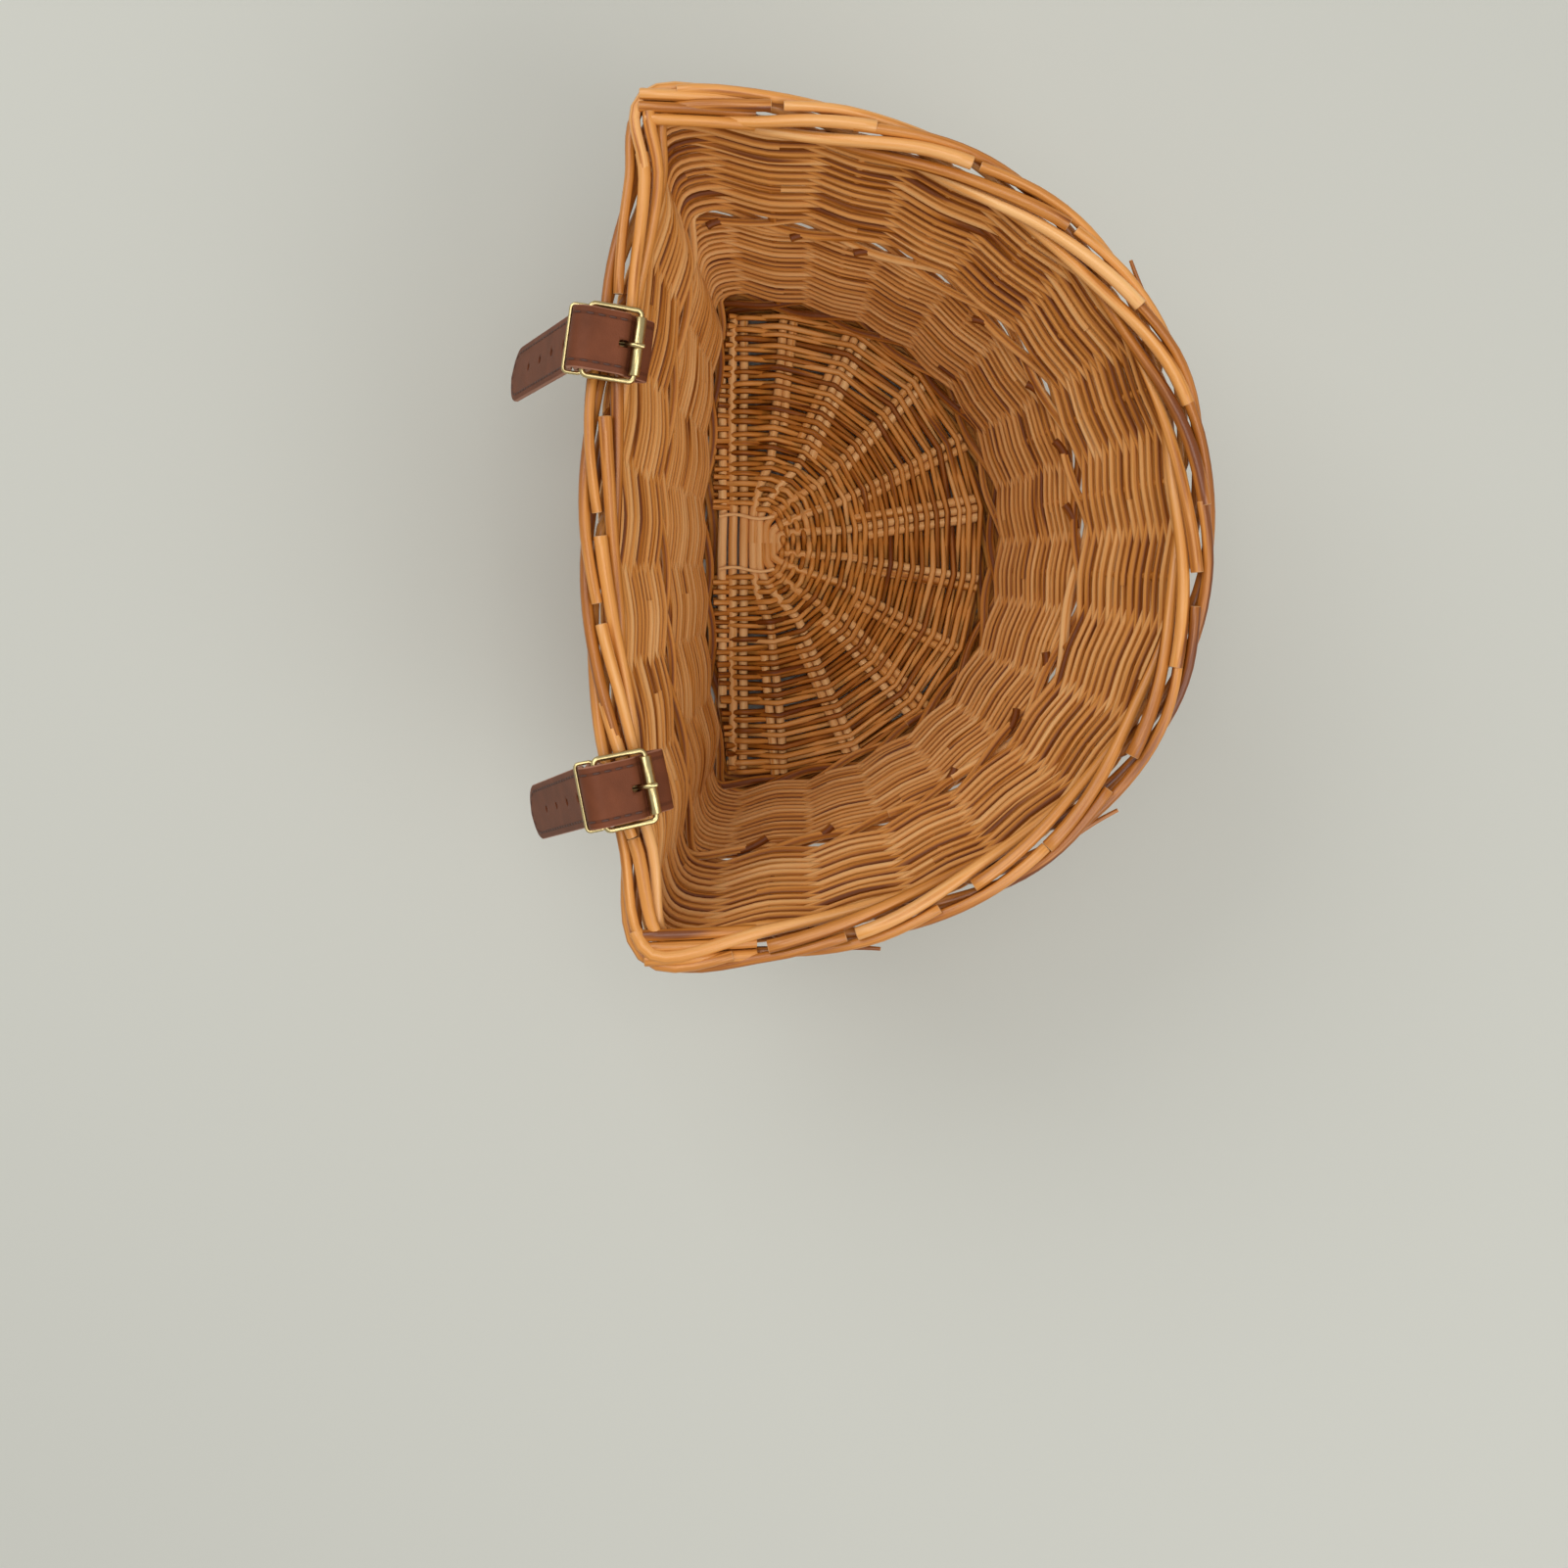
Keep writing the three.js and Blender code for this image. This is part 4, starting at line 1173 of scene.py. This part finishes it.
class BASKET_OT_base(bpy.types.Operator):
    """Weave the base: back sticks, bent ribs and rows"""

    bl_idname = "basket.base"
    bl_label = "Base"

    def execute(self, context):
        willow = context.scene.basket_willow
        chance = random.Random(willow.seed + 3)
        sticks, ribs, bindings = base_frame_rods(chance)
        finish = willow_finish("Willow, base frame", FRAME_TONE)
        nodes = [f"base_back_stick_{number + 1}" for number in range(len(STICK_Y))]
        willow_piece("base_back_sticks", sticks + bindings, STICK_SIDES, finish, "willow_base", *nodes)
        nodes = [f"base_rib_{number}" for number in range(1, SOLID_RIBS + 1)]
        willow_piece("base_ribs", ribs, RIB_SIDES, finish, "willow_base", *nodes)
        finish = willow_finish("Willow, base rows", FAN_ROW_TONE, "X")
        rows = base_row_rods(willow, chance)
        willow_piece("base_weave", rows, FAN_ROW_SIDES, finish, "willow_base", "base_weaver")
        return {"FINISHED"}


# Straps: sizes in millimetres, each cut from one length of leather

STRAP_LANES = 9
STRAP_RING = 2 * STRAP_LANES + 4
STRAP_CROWN = 0.18
STRAP_EDGE = 0.55
STRAP_SOFT = 0.5
INSIDE_RAW = 0.15
TIP_HALF = 0.6
TUCK_START = math.radians(6)
TUCK_END = math.radians(15)
TUCK_STEPS = 2
WRAP_STEPS = 10
OUTER_STEPS = 12
INNER_STEPS = 36
OVER_STEPS = 16
BEND_STEPS = 10
TAIL_STEPS = 60
TAIL_CLOSENESS = 1.6
SLACK_SHARE = 0.85
SHORTEST_STEP = 0.15
TAIL_ROOM = 0.5
TAIL_HOLES = (12.0, 32.0, 52.0, 72.0)
PUNCH_HALF = 4.0
PUNCH_SIDES = 20
EYE_ROOM_RADIUS = 3.25
EYE_ROOM_HALF = 2.4
EYE_ROOM_SIDES = 28
SLOT_ALONG = 15.1
SLOT_UP = 2.0
SLOT_STRETCH = 0.8
SLOT_RADIUS = 1.5
SLOT_HALF = 4.6
UNDER_ROLLER = (-4.0, 6.0)
STITCH_START = 9.5
STITCH_SINK = 0.12
STITCH_SIZE = (1.8 * MM, 0.45 * MM, 0.4 * MM)
STITCH_TREE = "Stitches"
BEAD_SEGMENTS = 8
BEAD_RINGS = 5
ACROSS = Vector((1.0, 0.0, 0.0))


def upright(flat, side=0.0):
    """A point or direction of a strap's side view in the strap's own frame."""
    return Vector((side, flat.x, flat.y))


def strap_frame(number):
    """Turns a strap's own frame into the basket's, in millimetres."""
    station = STRAP_STATIONS[number]
    origin = hinge_curve(station) + UP * RIM_HEIGHT
    side = (hinge_curve(station - STATION_STEP) - hinge_curve(station + STATION_STEP)).normalized()
    out = UP.cross(side)
    return Matrix(
        (
            (side.x, out.x, 0.0, origin.x),
            (side.y, out.y, 0.0, origin.y),
            (side.z, out.z, 1.0, origin.z),
            (0.0, 0.0, 0.0, 1.0),
        )
    )


def arc(centre, radius_y, radius_z, start, end, steps):
    """Points of an arc in a strap's side view."""
    points = []
    for i in range(steps + 1):
        angle = start + (end - start) * i / steps
        points.append(centre + Vector((radius_y * math.cos(angle), radius_z * math.sin(angle))))
    return points


def over_angle():
    """Direction square to the leather where it runs from the heel bar down to the border."""
    return math.atan2(HEEL.y, HEEL.x) + math.acos((HUG_RADIUS - OVER_RADIUS) / HEEL.length)


def strap_line(number):
    """The strap's side view from the tucked end, round the heel bar and the border, to the tail's tip."""
    origin = Vector((0.0, 0.0))
    points = arc(origin, HUG_RADIUS, HUG_RADIUS, TUCK_START, TUCK_END, TUCK_STEPS)
    points += arc(HEEL, WRAP_RADIUS, WRAP_RADIUS, math.pi, 0.0, WRAP_STEPS)
    points += arc(origin, OUTER_LAYER, HUG_RADIUS, 0.0, -math.pi / 2, OUTER_STEPS)
    inner_end = over_angle() - 2 * math.pi
    inner = arc(origin, HUG_RADIUS, HUG_RADIUS, -math.pi / 2, inner_end, INNER_STEPS)
    for i, point in enumerate(inner):
        share = min(i / INNER_STEPS / SLACK_SHARE, 1.0)
        point.x -= INNER_SLACK[number] * math.sin(math.pi * share) ** 2
    points += inner
    points += [in_buckle(*mark) for mark in OVER_BEND]
    points += arc(HEEL, OVER_RADIUS, OVER_RADIUS, BUCKLE_ANGLE - OVER_LEAVES, 0.0, OVER_STEPS)
    bend_start = TAIL_PIN + Vector((0.0, TAIL_BEND))
    bend_end = TAIL_PIN + TAIL_DOWN * TAIL_BEND
    for i in range(1, BEND_STEPS + 1):
        part = i / BEND_STEPS
        points.append(bend_start.lerp(TAIL_PIN, part).lerp(TAIL_PIN.lerp(bend_end, part), part))
    for i in range(1, TAIL_STEPS + 1):
        share = 1 - (1 - i / TAIL_STEPS) ** TAIL_CLOSENESS
        along = TAIL_BEND + (TAIL_LENGTH - TAIL_BEND) * share
        points.append(TAIL_PIN + TAIL_DOWN * along)
    clean = [points[0]]
    for point in points[1:]:
        if (point - clean[-1]).length > SHORTEST_STEP:
            clean.append(point)
    return clean


def line_lengths(points):
    """Running length along a list of points."""
    lengths = [0.0]
    for before, here in zip(points, points[1:]):
        lengths.append(lengths[-1] + (here - before).length)
    return lengths


def line_normal(points, i):
    """The way along the side view at a point, and the outer side to the left of it."""
    before = points[max(i - 1, 0)]
    after = points[min(i + 1, len(points) - 1)]
    along = (after - before).normalized()
    return along, Vector((-along.y, along.x))


def half_width(left, width):
    """Half of the strap's width at a distance from its tip."""
    half = width / 2
    if left >= half:
        return half
    return math.sqrt(max(half * half - (half - left) ** 2, 0.0))


def strap_sway(points, i, number):
    """Sideways lean of the tail at a point."""
    below = TAIL_HINGE - points[i].y
    if points[i].x < TAIL_LAYER - TAIL_ROOM or below < 0.0:
        return 0.0
    return math.tan(STRAP_SWAY[number]) * below / math.cos(TAIL_SPREAD)


def strap_section(half, thick):
    """One ring round the strap: places across, places out, and how much of the raw edge shows."""
    soft = min(STRAP_SOFT, half / 2)
    sides = [(2 * k / (STRAP_LANES - 1) - 1) * (half - soft) for k in range(STRAP_LANES)]
    ring = []
    for side in sides:
        crown = STRAP_CROWN * (1 - (side / half) ** 2)
        ring.append((side, thick - STRAP_CROWN + crown, 0.0))
    ring.append((half, thick * STRAP_EDGE, 1.0))
    ring.append((half, -thick * STRAP_EDGE, 1.0))
    ring += [(-side, -thick, INSIDE_RAW) for side in sides]
    ring.append((-half, -thick * STRAP_EDGE, 1.0))
    ring.append((-half, thick * STRAP_EDGE, 1.0))
    return ring


def strap_mesh(number, strap):
    """The strap as a ribbon with rounded edges and a rounded tip."""
    points = strap_line(number)
    lengths = line_lengths(points)
    place = strap_frame(number)
    positions = []
    across = []
    raw = []
    for i, point in enumerate(points):
        half = max(half_width(lengths[-1] - lengths[i], strap.width), TIP_HALF)
        normal = line_normal(points, i)[1]
        sway = strap_sway(points, i, number)
        for side, out, edge in strap_section(half, strap.thickness / 2):
            positions.append((place @ upright(point + normal * out, side + sway)) * MM)
            across.append((abs(side) + strap.width / 2 - half) * MM)
            raw.append(edge)
    last = len(positions) - STRAP_RING
    faces = []
    for here in range(0, last, STRAP_RING):
        beyond = here + STRAP_RING
        for k in range(STRAP_RING):
            after = (k + 1) % STRAP_RING
            faces.append((here + k, here + after, beyond + after, beyond + k))
    faces.append(tuple(range(STRAP_RING))[::-1])
    faces.append(tuple(range(last, last + STRAP_RING)))
    mesh = new_mesh(f"strap {number + 1}", positions, [], faces, across=across, raw_edge=raw)
    mesh.polygons.foreach_set("use_smooth", [True] * len(mesh.polygons))
    return mesh


def spokes(axis, sides):
    """Directions evenly round an axis."""
    aside = axis.orthogonal().normalized()
    other = axis.cross(aside)
    angles = [2 * math.pi * k / sides for k in range(sides)]
    return [aside * math.cos(angle) + other * math.sin(angle) for angle in angles]


def add_cylinder(positions, faces, centre, axis, radius, half, sides, stretch=Vector()):
    """Adds a closed cylinder to lists of points and faces; a stretch makes its section oblong."""
    axis = axis.normalized()
    first = len(positions)
    for end in (-half, half):
        for spoke in spokes(axis, sides):
            oblong = stretch if spoke.dot(stretch) > 0.0 else -stretch
            positions.append(centre + axis * end + spoke * radius + oblong)
    for k in range(sides):
        after = (k + 1) % sides
        faces.append((first + k, first + after, first + sides + after, first + sides + k))
    faces.append(tuple(first + k for k in range(sides))[::-1])
    faces.append(tuple(first + sides + k for k in range(sides)))


def hole_cutter(number, strap):
    """Cylinders where the tail is punched, where the prong's eye turns, and the prong's slot."""
    positions = []
    faces = []
    for along in TAIL_HOLES:
        centre = upright(TAIL_PIN + TAIL_DOWN * along, math.tan(STRAP_SWAY[number]) * along)
        add_cylinder(positions, faces, centre, upright(TAIL_OUT), strap.hole / 2, PUNCH_HALF, PUNCH_SIDES)
    eye_room = (EYE_ROOM_RADIUS, EYE_ROOM_HALF, EYE_ROOM_SIDES)
    add_cylinder(positions, faces, upright(HEEL), ACROSS, *eye_room)
    slot = in_buckle(SLOT_ALONG, SLOT_UP)
    through = upright(in_buckle(SLOT_ALONG, SLOT_UP + 1.0) - slot)
    stretch = upright(in_buckle(SLOT_ALONG + SLOT_STRETCH, SLOT_UP) - slot)
    add_cylinder(positions, faces, upright(slot), through, SLOT_RADIUS, SLOT_HALF, PUNCH_SIDES, stretch)
    place = strap_frame(number)
    mesh = new_mesh("strap holes", [(place @ p) * MM for p in positions], [], faces)
    return link_object("strap holes", mesh)


def stitch_tree():
    """Sets a small stitch on every point, laid along the seam."""
    tree = bpy.data.node_groups.get(STITCH_TREE)
    if tree:
        return tree
    tree, given = new_tree(
        STITCH_TREE,
        ("Stitch size", "NodeSocketVector", STITCH_SIZE),
        ("Finish", "NodeSocketMaterial", None),
    )
    bead = add_node(tree, "GeometryNodeMeshUVSphere", Segments=BEAD_SEGMENTS, Rings=BEAD_RINGS, Radius=1.0)
    turn = add_node(
        tree,
        "FunctionNodeAxesToRotation",
        {"primary_axis": "Z", "secondary_axis": "X"},
        Primary_Axis=named_attribute(tree, "seam_out", "FLOAT_VECTOR"),
        Secondary_Axis=named_attribute(tree, "seam_along", "FLOAT_VECTOR"),
    )
    lay = add_node(
        tree,
        "GeometryNodeInstanceOnPoints",
        Points=given["Geometry"],
        Instance=bead.outputs["Mesh"],
        Rotation=turn.outputs["Rotation"],
        Scale=given["Stitch size"],
    )
    finish_tree(tree, lay.outputs["Instances"], given["Finish"])
    return tree


def seam_marks(number, strap):
    """Places of the stitches: down one edge, round the tip and up the other, on the outer face."""
    points = strap_line(number)
    lengths = line_lengths(points)
    place = strap_frame(number)
    turned = place.to_3x3()
    inside, above = UNDER_ROLLER
    under_roller = next(i for i, p in enumerate(points) if p.x < inside and p.y > above)
    start = lengths[under_roller] + STITCH_START
    inset = strap.width / 2 - strap.stitch_margin
    end = lengths[-1] - strap.width / 2
    out = strap.thickness / 2 - STITCH_SINK

    def at(length, side):
        i = max(next(k for k, value in enumerate(lengths) if value >= length), 1)
        part = (length - lengths[i - 1]) / (lengths[i] - lengths[i - 1])
        along, normal = line_normal(points, i)
        sway = strap_sway(points, i - 1, number) * (1 - part) + strap_sway(points, i, number) * part
        spot = points[i - 1].lerp(points[i], part) + normal * out
        return upright(spot, side + sway), along, upright(normal)

    marks = []
    steps = int((end - start) / strap.stitch_pitch)
    for side in (-inset, inset):
        for k in range(steps + 1):
            spot, along, normal = at(start + (end - start) * k / steps, side)
            marks.append((spot, upright(along), normal))
    turns = int(math.pi * inset / strap.stitch_pitch)
    for k in range(1, turns):
        angle = math.pi * k / turns
        spot, along, normal = at(end + inset * math.sin(angle), inset * math.cos(angle))
        marks.append((spot, upright(along * math.cos(angle), -math.sin(angle)), normal))
    return [((place @ spot) * MM, turned @ along, turned @ normal) for spot, along, normal in marks]


def stitches_piece(number, strap, finish):
    """The stitches of one strap as one mesh."""
    spots, alongs, outs = zip(*seam_marks(number, strap))
    mesh = new_mesh("stitch marks", spots, [], [])
    for label, ways in (("seam_along", alongs), ("seam_out", outs)):
        layer = mesh.attributes.new(label, "FLOAT_VECTOR", "POINT")
        layer.data.foreach_set("vector", [part for way in ways for part in way])
    return grown_piece(f"strap_stitches_{number + 1}", mesh, stitch_tree(), Finish=finish)


def hang_tail(piece, number):
    """Bakes a strap piece's transform into its mesh."""
    place = strap_frame(number)
    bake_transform(piece)


class BASKET_OT_straps(bpy.types.Operator):
    """Cut and stitch the two leather straps"""

    bl_idname = "basket.straps"
    bl_label = "Straps"

    def execute(self, context):
        strap = context.scene.basket_strap
        leather = leather_finish("Leather, brown")
        thread = thread_finish("Thread, dark")
        for number in range(len(STRAP_STATIONS)):
            mesh = strap_mesh(number, strap)
            mesh.materials.append(leather)
            source = link_object("strap ribbon", mesh)
            cutter = hole_cutter(number, strap)
            punch = source.modifiers.new("Holes", "BOOLEAN")
            punch.object = cutter
            punch.operation = "DIFFERENCE"
            punch.solver = "EXACT"
            piece = evaluated_piece(f"strap_{number + 1}", source)
            remove_object(cutter)
            hang_tail(piece, number)
            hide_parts(f"strap_loop_{number + 1}", f"strap_tail_{number + 1}")
            stitches = stitches_piece(number, strap, thread)
            hang_tail(stitches, number)
        return {"FINISHED"}


# Brass: buckle frames, rollers, prongs and keepers, in millimetres

FRAME_RADIUS = 1.2
FRAME_CORNER = 2.2
FRAME_CORNER_STEPS = 6
FRAME_SIDES = 14
KEEPER_CORNER = 1.6
KEEPER_CORNER_STEPS = 5
KEEPER_SIDES = 12
BAR_BORE = 1.75
ROLLER_SHORT = 2.6
ROLLER_SIDES = 40
PRONG_EYE_RADIUS = 2.85
PRONG_EYE_HALF = 2.0
PRONG_EYE_SIDES = 32
PRONG_RADIUS = 1.05
PRONG_TIP_RADII = [0.9, 0.5]
PRONG_SIDES = 14
PRONG_PATH = (
    (2.3, 0.55),
    (7.0, -0.4),
    (13.0, -1.7),
    (15.2, -0.6),
    (17.0, 1.7),
    (18.7, 3.9),
    (21.0, 4.5),
    (23.4, 4.1),
)
WIRE_ROOM = 0.5
KEEPER_ROOM = 0.3
TUBE_EASE = 0.2
FLAT_END = 0.2
CORNER_CUT = 0.25
CORNER_CUTS = 2


def rounded_loop(half, low, high, corner, steps):
    """Points of a rounded rectangle in its own plane."""
    points = []
    for centre_x, centre_y, start in (
        (half - corner, high - corner, 0.0),
        (-half + corner, high - corner, 0.5 * math.pi),
        (-half + corner, low + corner, math.pi),
        (half - corner, low + corner, 1.5 * math.pi),
    ):
        for i in range(steps + 1):
            angle = start + 0.5 * math.pi * i / steps
            points.append(Vector((centre_x + corner * math.cos(angle), centre_y + corner * math.sin(angle))))
    return points


def in_buckle(along, up):
    """A point of the buckle's side view, from the heel bar along the frame."""
    ahead = Vector((math.cos(BUCKLE_ANGLE), math.sin(BUCKLE_ANGLE)))
    return HEEL + ahead * along + Vector((ahead.y, -ahead.x)) * up


def turned_tube(name, centre, axis, outer, half, sides, finish):
    """A short tube round a bar, with eased end edges."""
    profile = (
        (BAR_BORE, -half),
        (outer - TUBE_EASE, -half),
        (outer, -half + TUBE_EASE),
        (outer, half - TUBE_EASE),
        (outer - TUBE_EASE, half),
        (BAR_BORE, half),
    )
    axis = axis.normalized()
    positions = []
    for spoke in spokes(axis, sides):
        for radius, along in profile:
            positions.append((centre + axis * along + spoke * radius) * MM)
    size = len(profile)
    faces = []
    for k in range(sides):
        after = (k + 1) % sides
        for i in range(size):
            j = (i + 1) % size
            faces.append((k * size + i, after * size + i, after * size + j, k * size + j))
    mesh = new_mesh(name, positions, [], faces)
    mesh.materials.append(finish)
    mesh.polygons.foreach_set("use_smooth", [abs(p.normal.dot(axis)) < FLAT_END for p in mesh.polygons])
    return link_object(name, mesh)


def wire_piece(name, loop, radius, sides, finish):
    """A closed loop of wire."""
    return rods_piece(name, [Rod(loop, [radius] * len(loop), closed=True)], sides, finish)


def prong_piece(name, place, finish):
    """An eye round the heel bar and a tapered arm that rests over the roller."""
    side = place.to_3x3() @ ACROSS
    centre = place @ upright(HEEL)
    eye = turned_tube(name, centre, side, PRONG_EYE_RADIUS, PRONG_EYE_HALF, PRONG_EYE_SIDES, finish)
    path = [in_buckle(*mark) for mark in PRONG_PATH]
    for _ in range(CORNER_CUTS):
        cut = [path[0]]
        for before, after in zip(path, path[1:]):
            cut += [before.lerp(after, CORNER_CUT), before.lerp(after, 1 - CORNER_CUT)]
        path = cut + [path[-1]]
    points = [place @ upright(flat) for flat in path]
    radii = [PRONG_RADIUS] * (len(points) - len(PRONG_TIP_RADII)) + PRONG_TIP_RADII
    arm = rods_piece(f"{name}_arm", [Rod(points, radii)], PRONG_SIDES, finish)
    with bpy.context.temp_override(active_object=eye, selected_editable_objects=[eye, arm]):
        bpy.ops.object.join()
    return eye


class BASKET_OT_buckles(bpy.types.Operator):
    """Bend the brass buckles and keepers"""

    bl_idname = "basket.buckles"
    bl_label = "Buckles and keepers"

    def execute(self, context):
        brass = brass_finish("Brass, bright")
        strap = context.scene.basket_strap
        for number in range(len(STRAP_STATIONS)):
            label = number + 1
            place = strap_frame(number)
            half = strap.width / 2 + WIRE_ROOM + BUCKLE_WIRE / 2
            plan = rounded_loop(half, 0.0, BUCKLE_PITCH, FRAME_CORNER, FRAME_CORNER_STEPS)
            loop = [place @ upright(in_buckle(p.y, 0.0), p.x) for p in plan]
            piece = wire_piece(f"buckle_wire_{label}", loop, FRAME_RADIUS, FRAME_SIDES, brass)
            dress(piece, "brass", f"buckle_{label}", f"buckle_frame_{label}")
            side = place.to_3x3() @ ACROSS
            centre = place @ upright(in_buckle(BUCKLE_PITCH, 0.0))
            name = f"roller_tube_{label}"
            piece = turned_tube(name, centre, side, ROLLER_RADIUS, half - ROLLER_SHORT, ROLLER_SIDES, brass)
            dress(piece, "brass", f"roller_{label}", f"buckle_roller_{label}")
            piece = prong_piece(f"prong_pin_{label}", place, brass)
            dress(piece, "brass", f"prong_{label}", f"buckle_prong_{label}")
            half = strap.width / 2 + WIRE_ROOM + KEEPER_WIRE / 2
            margin = strap.thickness / 2 + KEEPER_ROOM + KEEPER_WIRE / 2
            low = OUTER_LAYER - margin
            high = TAIL_LAYER + margin
            plan = rounded_loop(half, low, high, KEEPER_CORNER, KEEPER_CORNER_STEPS)
            loop = [place @ Vector((p.x, p.y, KEEPER_HEIGHT)) for p in plan]
            piece = wire_piece(f"keeper_wire_{label}", loop, KEEPER_WIRE / 2, KEEPER_SIDES, brass)
            dress(piece, "brass", f"keeper_{label}", f"strap_keeper_{label}")
        return {"FINISHED"}


# Stage: places in metres, light in watts

FLOOR_REACH = 6.0
WORLD_COLOUR = (1.0, 0.98, 0.95)
WORLD_STRENGTH = 0.5
LIGHT_TARGET = Vector((0.0, 0.0, 0.1))
LIGHTS = (
    ("Key", (-0.95, -0.95, 1.5), 1.2, 13.5),
    ("Fill", (0.95, 0.9, 1.5), 1.2, 13.0),
    ("Top", (0.0, 0.0, 2.0), 1.0, 9.0),
)
CAMERA_PLACE = (-0.031, 0.047, 0.953)
CAMERA_TURN = (0.0, 0.0, -math.pi / 2)
CAMERA_SENSOR = 36.0
CAMERA_LENS = 42.1
CAMERA_SHIFT = (0.032, -0.115)


class BASKET_OT_stage(bpy.types.Operator):
    """Lay the floor, set the lights and place the camera above the basket"""

    bl_idname = "basket.stage"
    bl_label = "Stage"

    def execute(self, context):
        scene = context.scene
        scene.view_settings.view_transform = "Standard"
        tint = opaque(scene.basket_finish.floor)
        far = FLOOR_REACH
        corners = [(-far, -far, 0.0), (far, -far, 0.0), (far, far, 0.0), (-far, far, 0.0)]
        mesh = new_mesh("floor", corners, [], [(0, 1, 2, 3)])
        mesh.materials.append(new_material("Floor, pale", Base_Color=tint, Roughness=0.9)[0])
        link_object("floor", mesh)
        world = bpy.data.worlds.new("Studio")
        world.use_nodes = True
        background = world.node_tree.nodes["Background"]
        background.inputs["Color"].default_value = opaque(WORLD_COLOUR)
        background.inputs["Strength"].default_value = WORLD_STRENGTH
        scene.world = world
        for name, place, size, power in LIGHTS:
            lamp = bpy.data.lights.new(name, "AREA")
            lamp.size = size
            lamp.energy = power
            light = link_object(name, lamp)
            light.location = place
            light.rotation_euler = (LIGHT_TARGET - Vector(place)).to_track_quat("-Z", "Y").to_euler()
        camera = bpy.data.cameras.new("Camera")
        camera.sensor_width = CAMERA_SENSOR
        camera.lens = CAMERA_LENS
        camera.shift_x, camera.shift_y = CAMERA_SHIFT
        eye = link_object("Camera", camera)
        eye.location = CAMERA_PLACE
        eye.rotation_euler = CAMERA_TURN
        scene.camera = eye
        return {"FINISHED"}


class BASKET_PT_build(bpy.types.Panel):
    """Lists the basket's steps and sizes"""

    bl_label = "Willow basket"
    bl_idname = "BASKET_PT_build"
    bl_space_type = "VIEW_3D"
    bl_region_type = "UI"
    bl_category = "Basket"

    def draw(self, context):
        layout = self.layout
        for operator in OPERATORS:
            layout.operator(operator.bl_idname)
        for setting in SETTINGS:
            group = getattr(context.scene, setting)
            box = layout.box()
            for name in group.__annotations__:
                box.prop(group, name)


OPERATORS = (
    BASKET_OT_wall_weave,
    BASKET_OT_wales,
    BASKET_OT_border,
    BASKET_OT_base,
    BASKET_OT_straps,
    BASKET_OT_buckles,
    BASKET_OT_stage,
)
SETTINGS = {"basket_willow": BasketWillow, "basket_strap": BasketStrap, "basket_finish": BasketFinish}
CLASSES = (*SETTINGS.values(), *OPERATORS, BASKET_PT_build)


def register():
    """Registers the classes and the scene's settings."""
    for item in CLASSES:
        bpy.utils.register_class(item)
    for setting, group in SETTINGS.items():
        setattr(bpy.types.Scene, setting, PointerProperty(type=group))


def unregister():
    """Removes the scene's settings and the classes."""
    for setting in SETTINGS:
        delattr(bpy.types.Scene, setting)
    for item in reversed(CLASSES):
        bpy.utils.unregister_class(item)


def main():
    """Builds every piece in order."""
    register()
    bpy.ops.basket.wall_weave()
    bpy.ops.basket.wales()
    bpy.ops.basket.border()
    bpy.ops.basket.base()
    bpy.ops.basket.straps()
    bpy.ops.basket.buckles()
    bpy.ops.basket.stage()


if __name__ == "__main__":
    main()
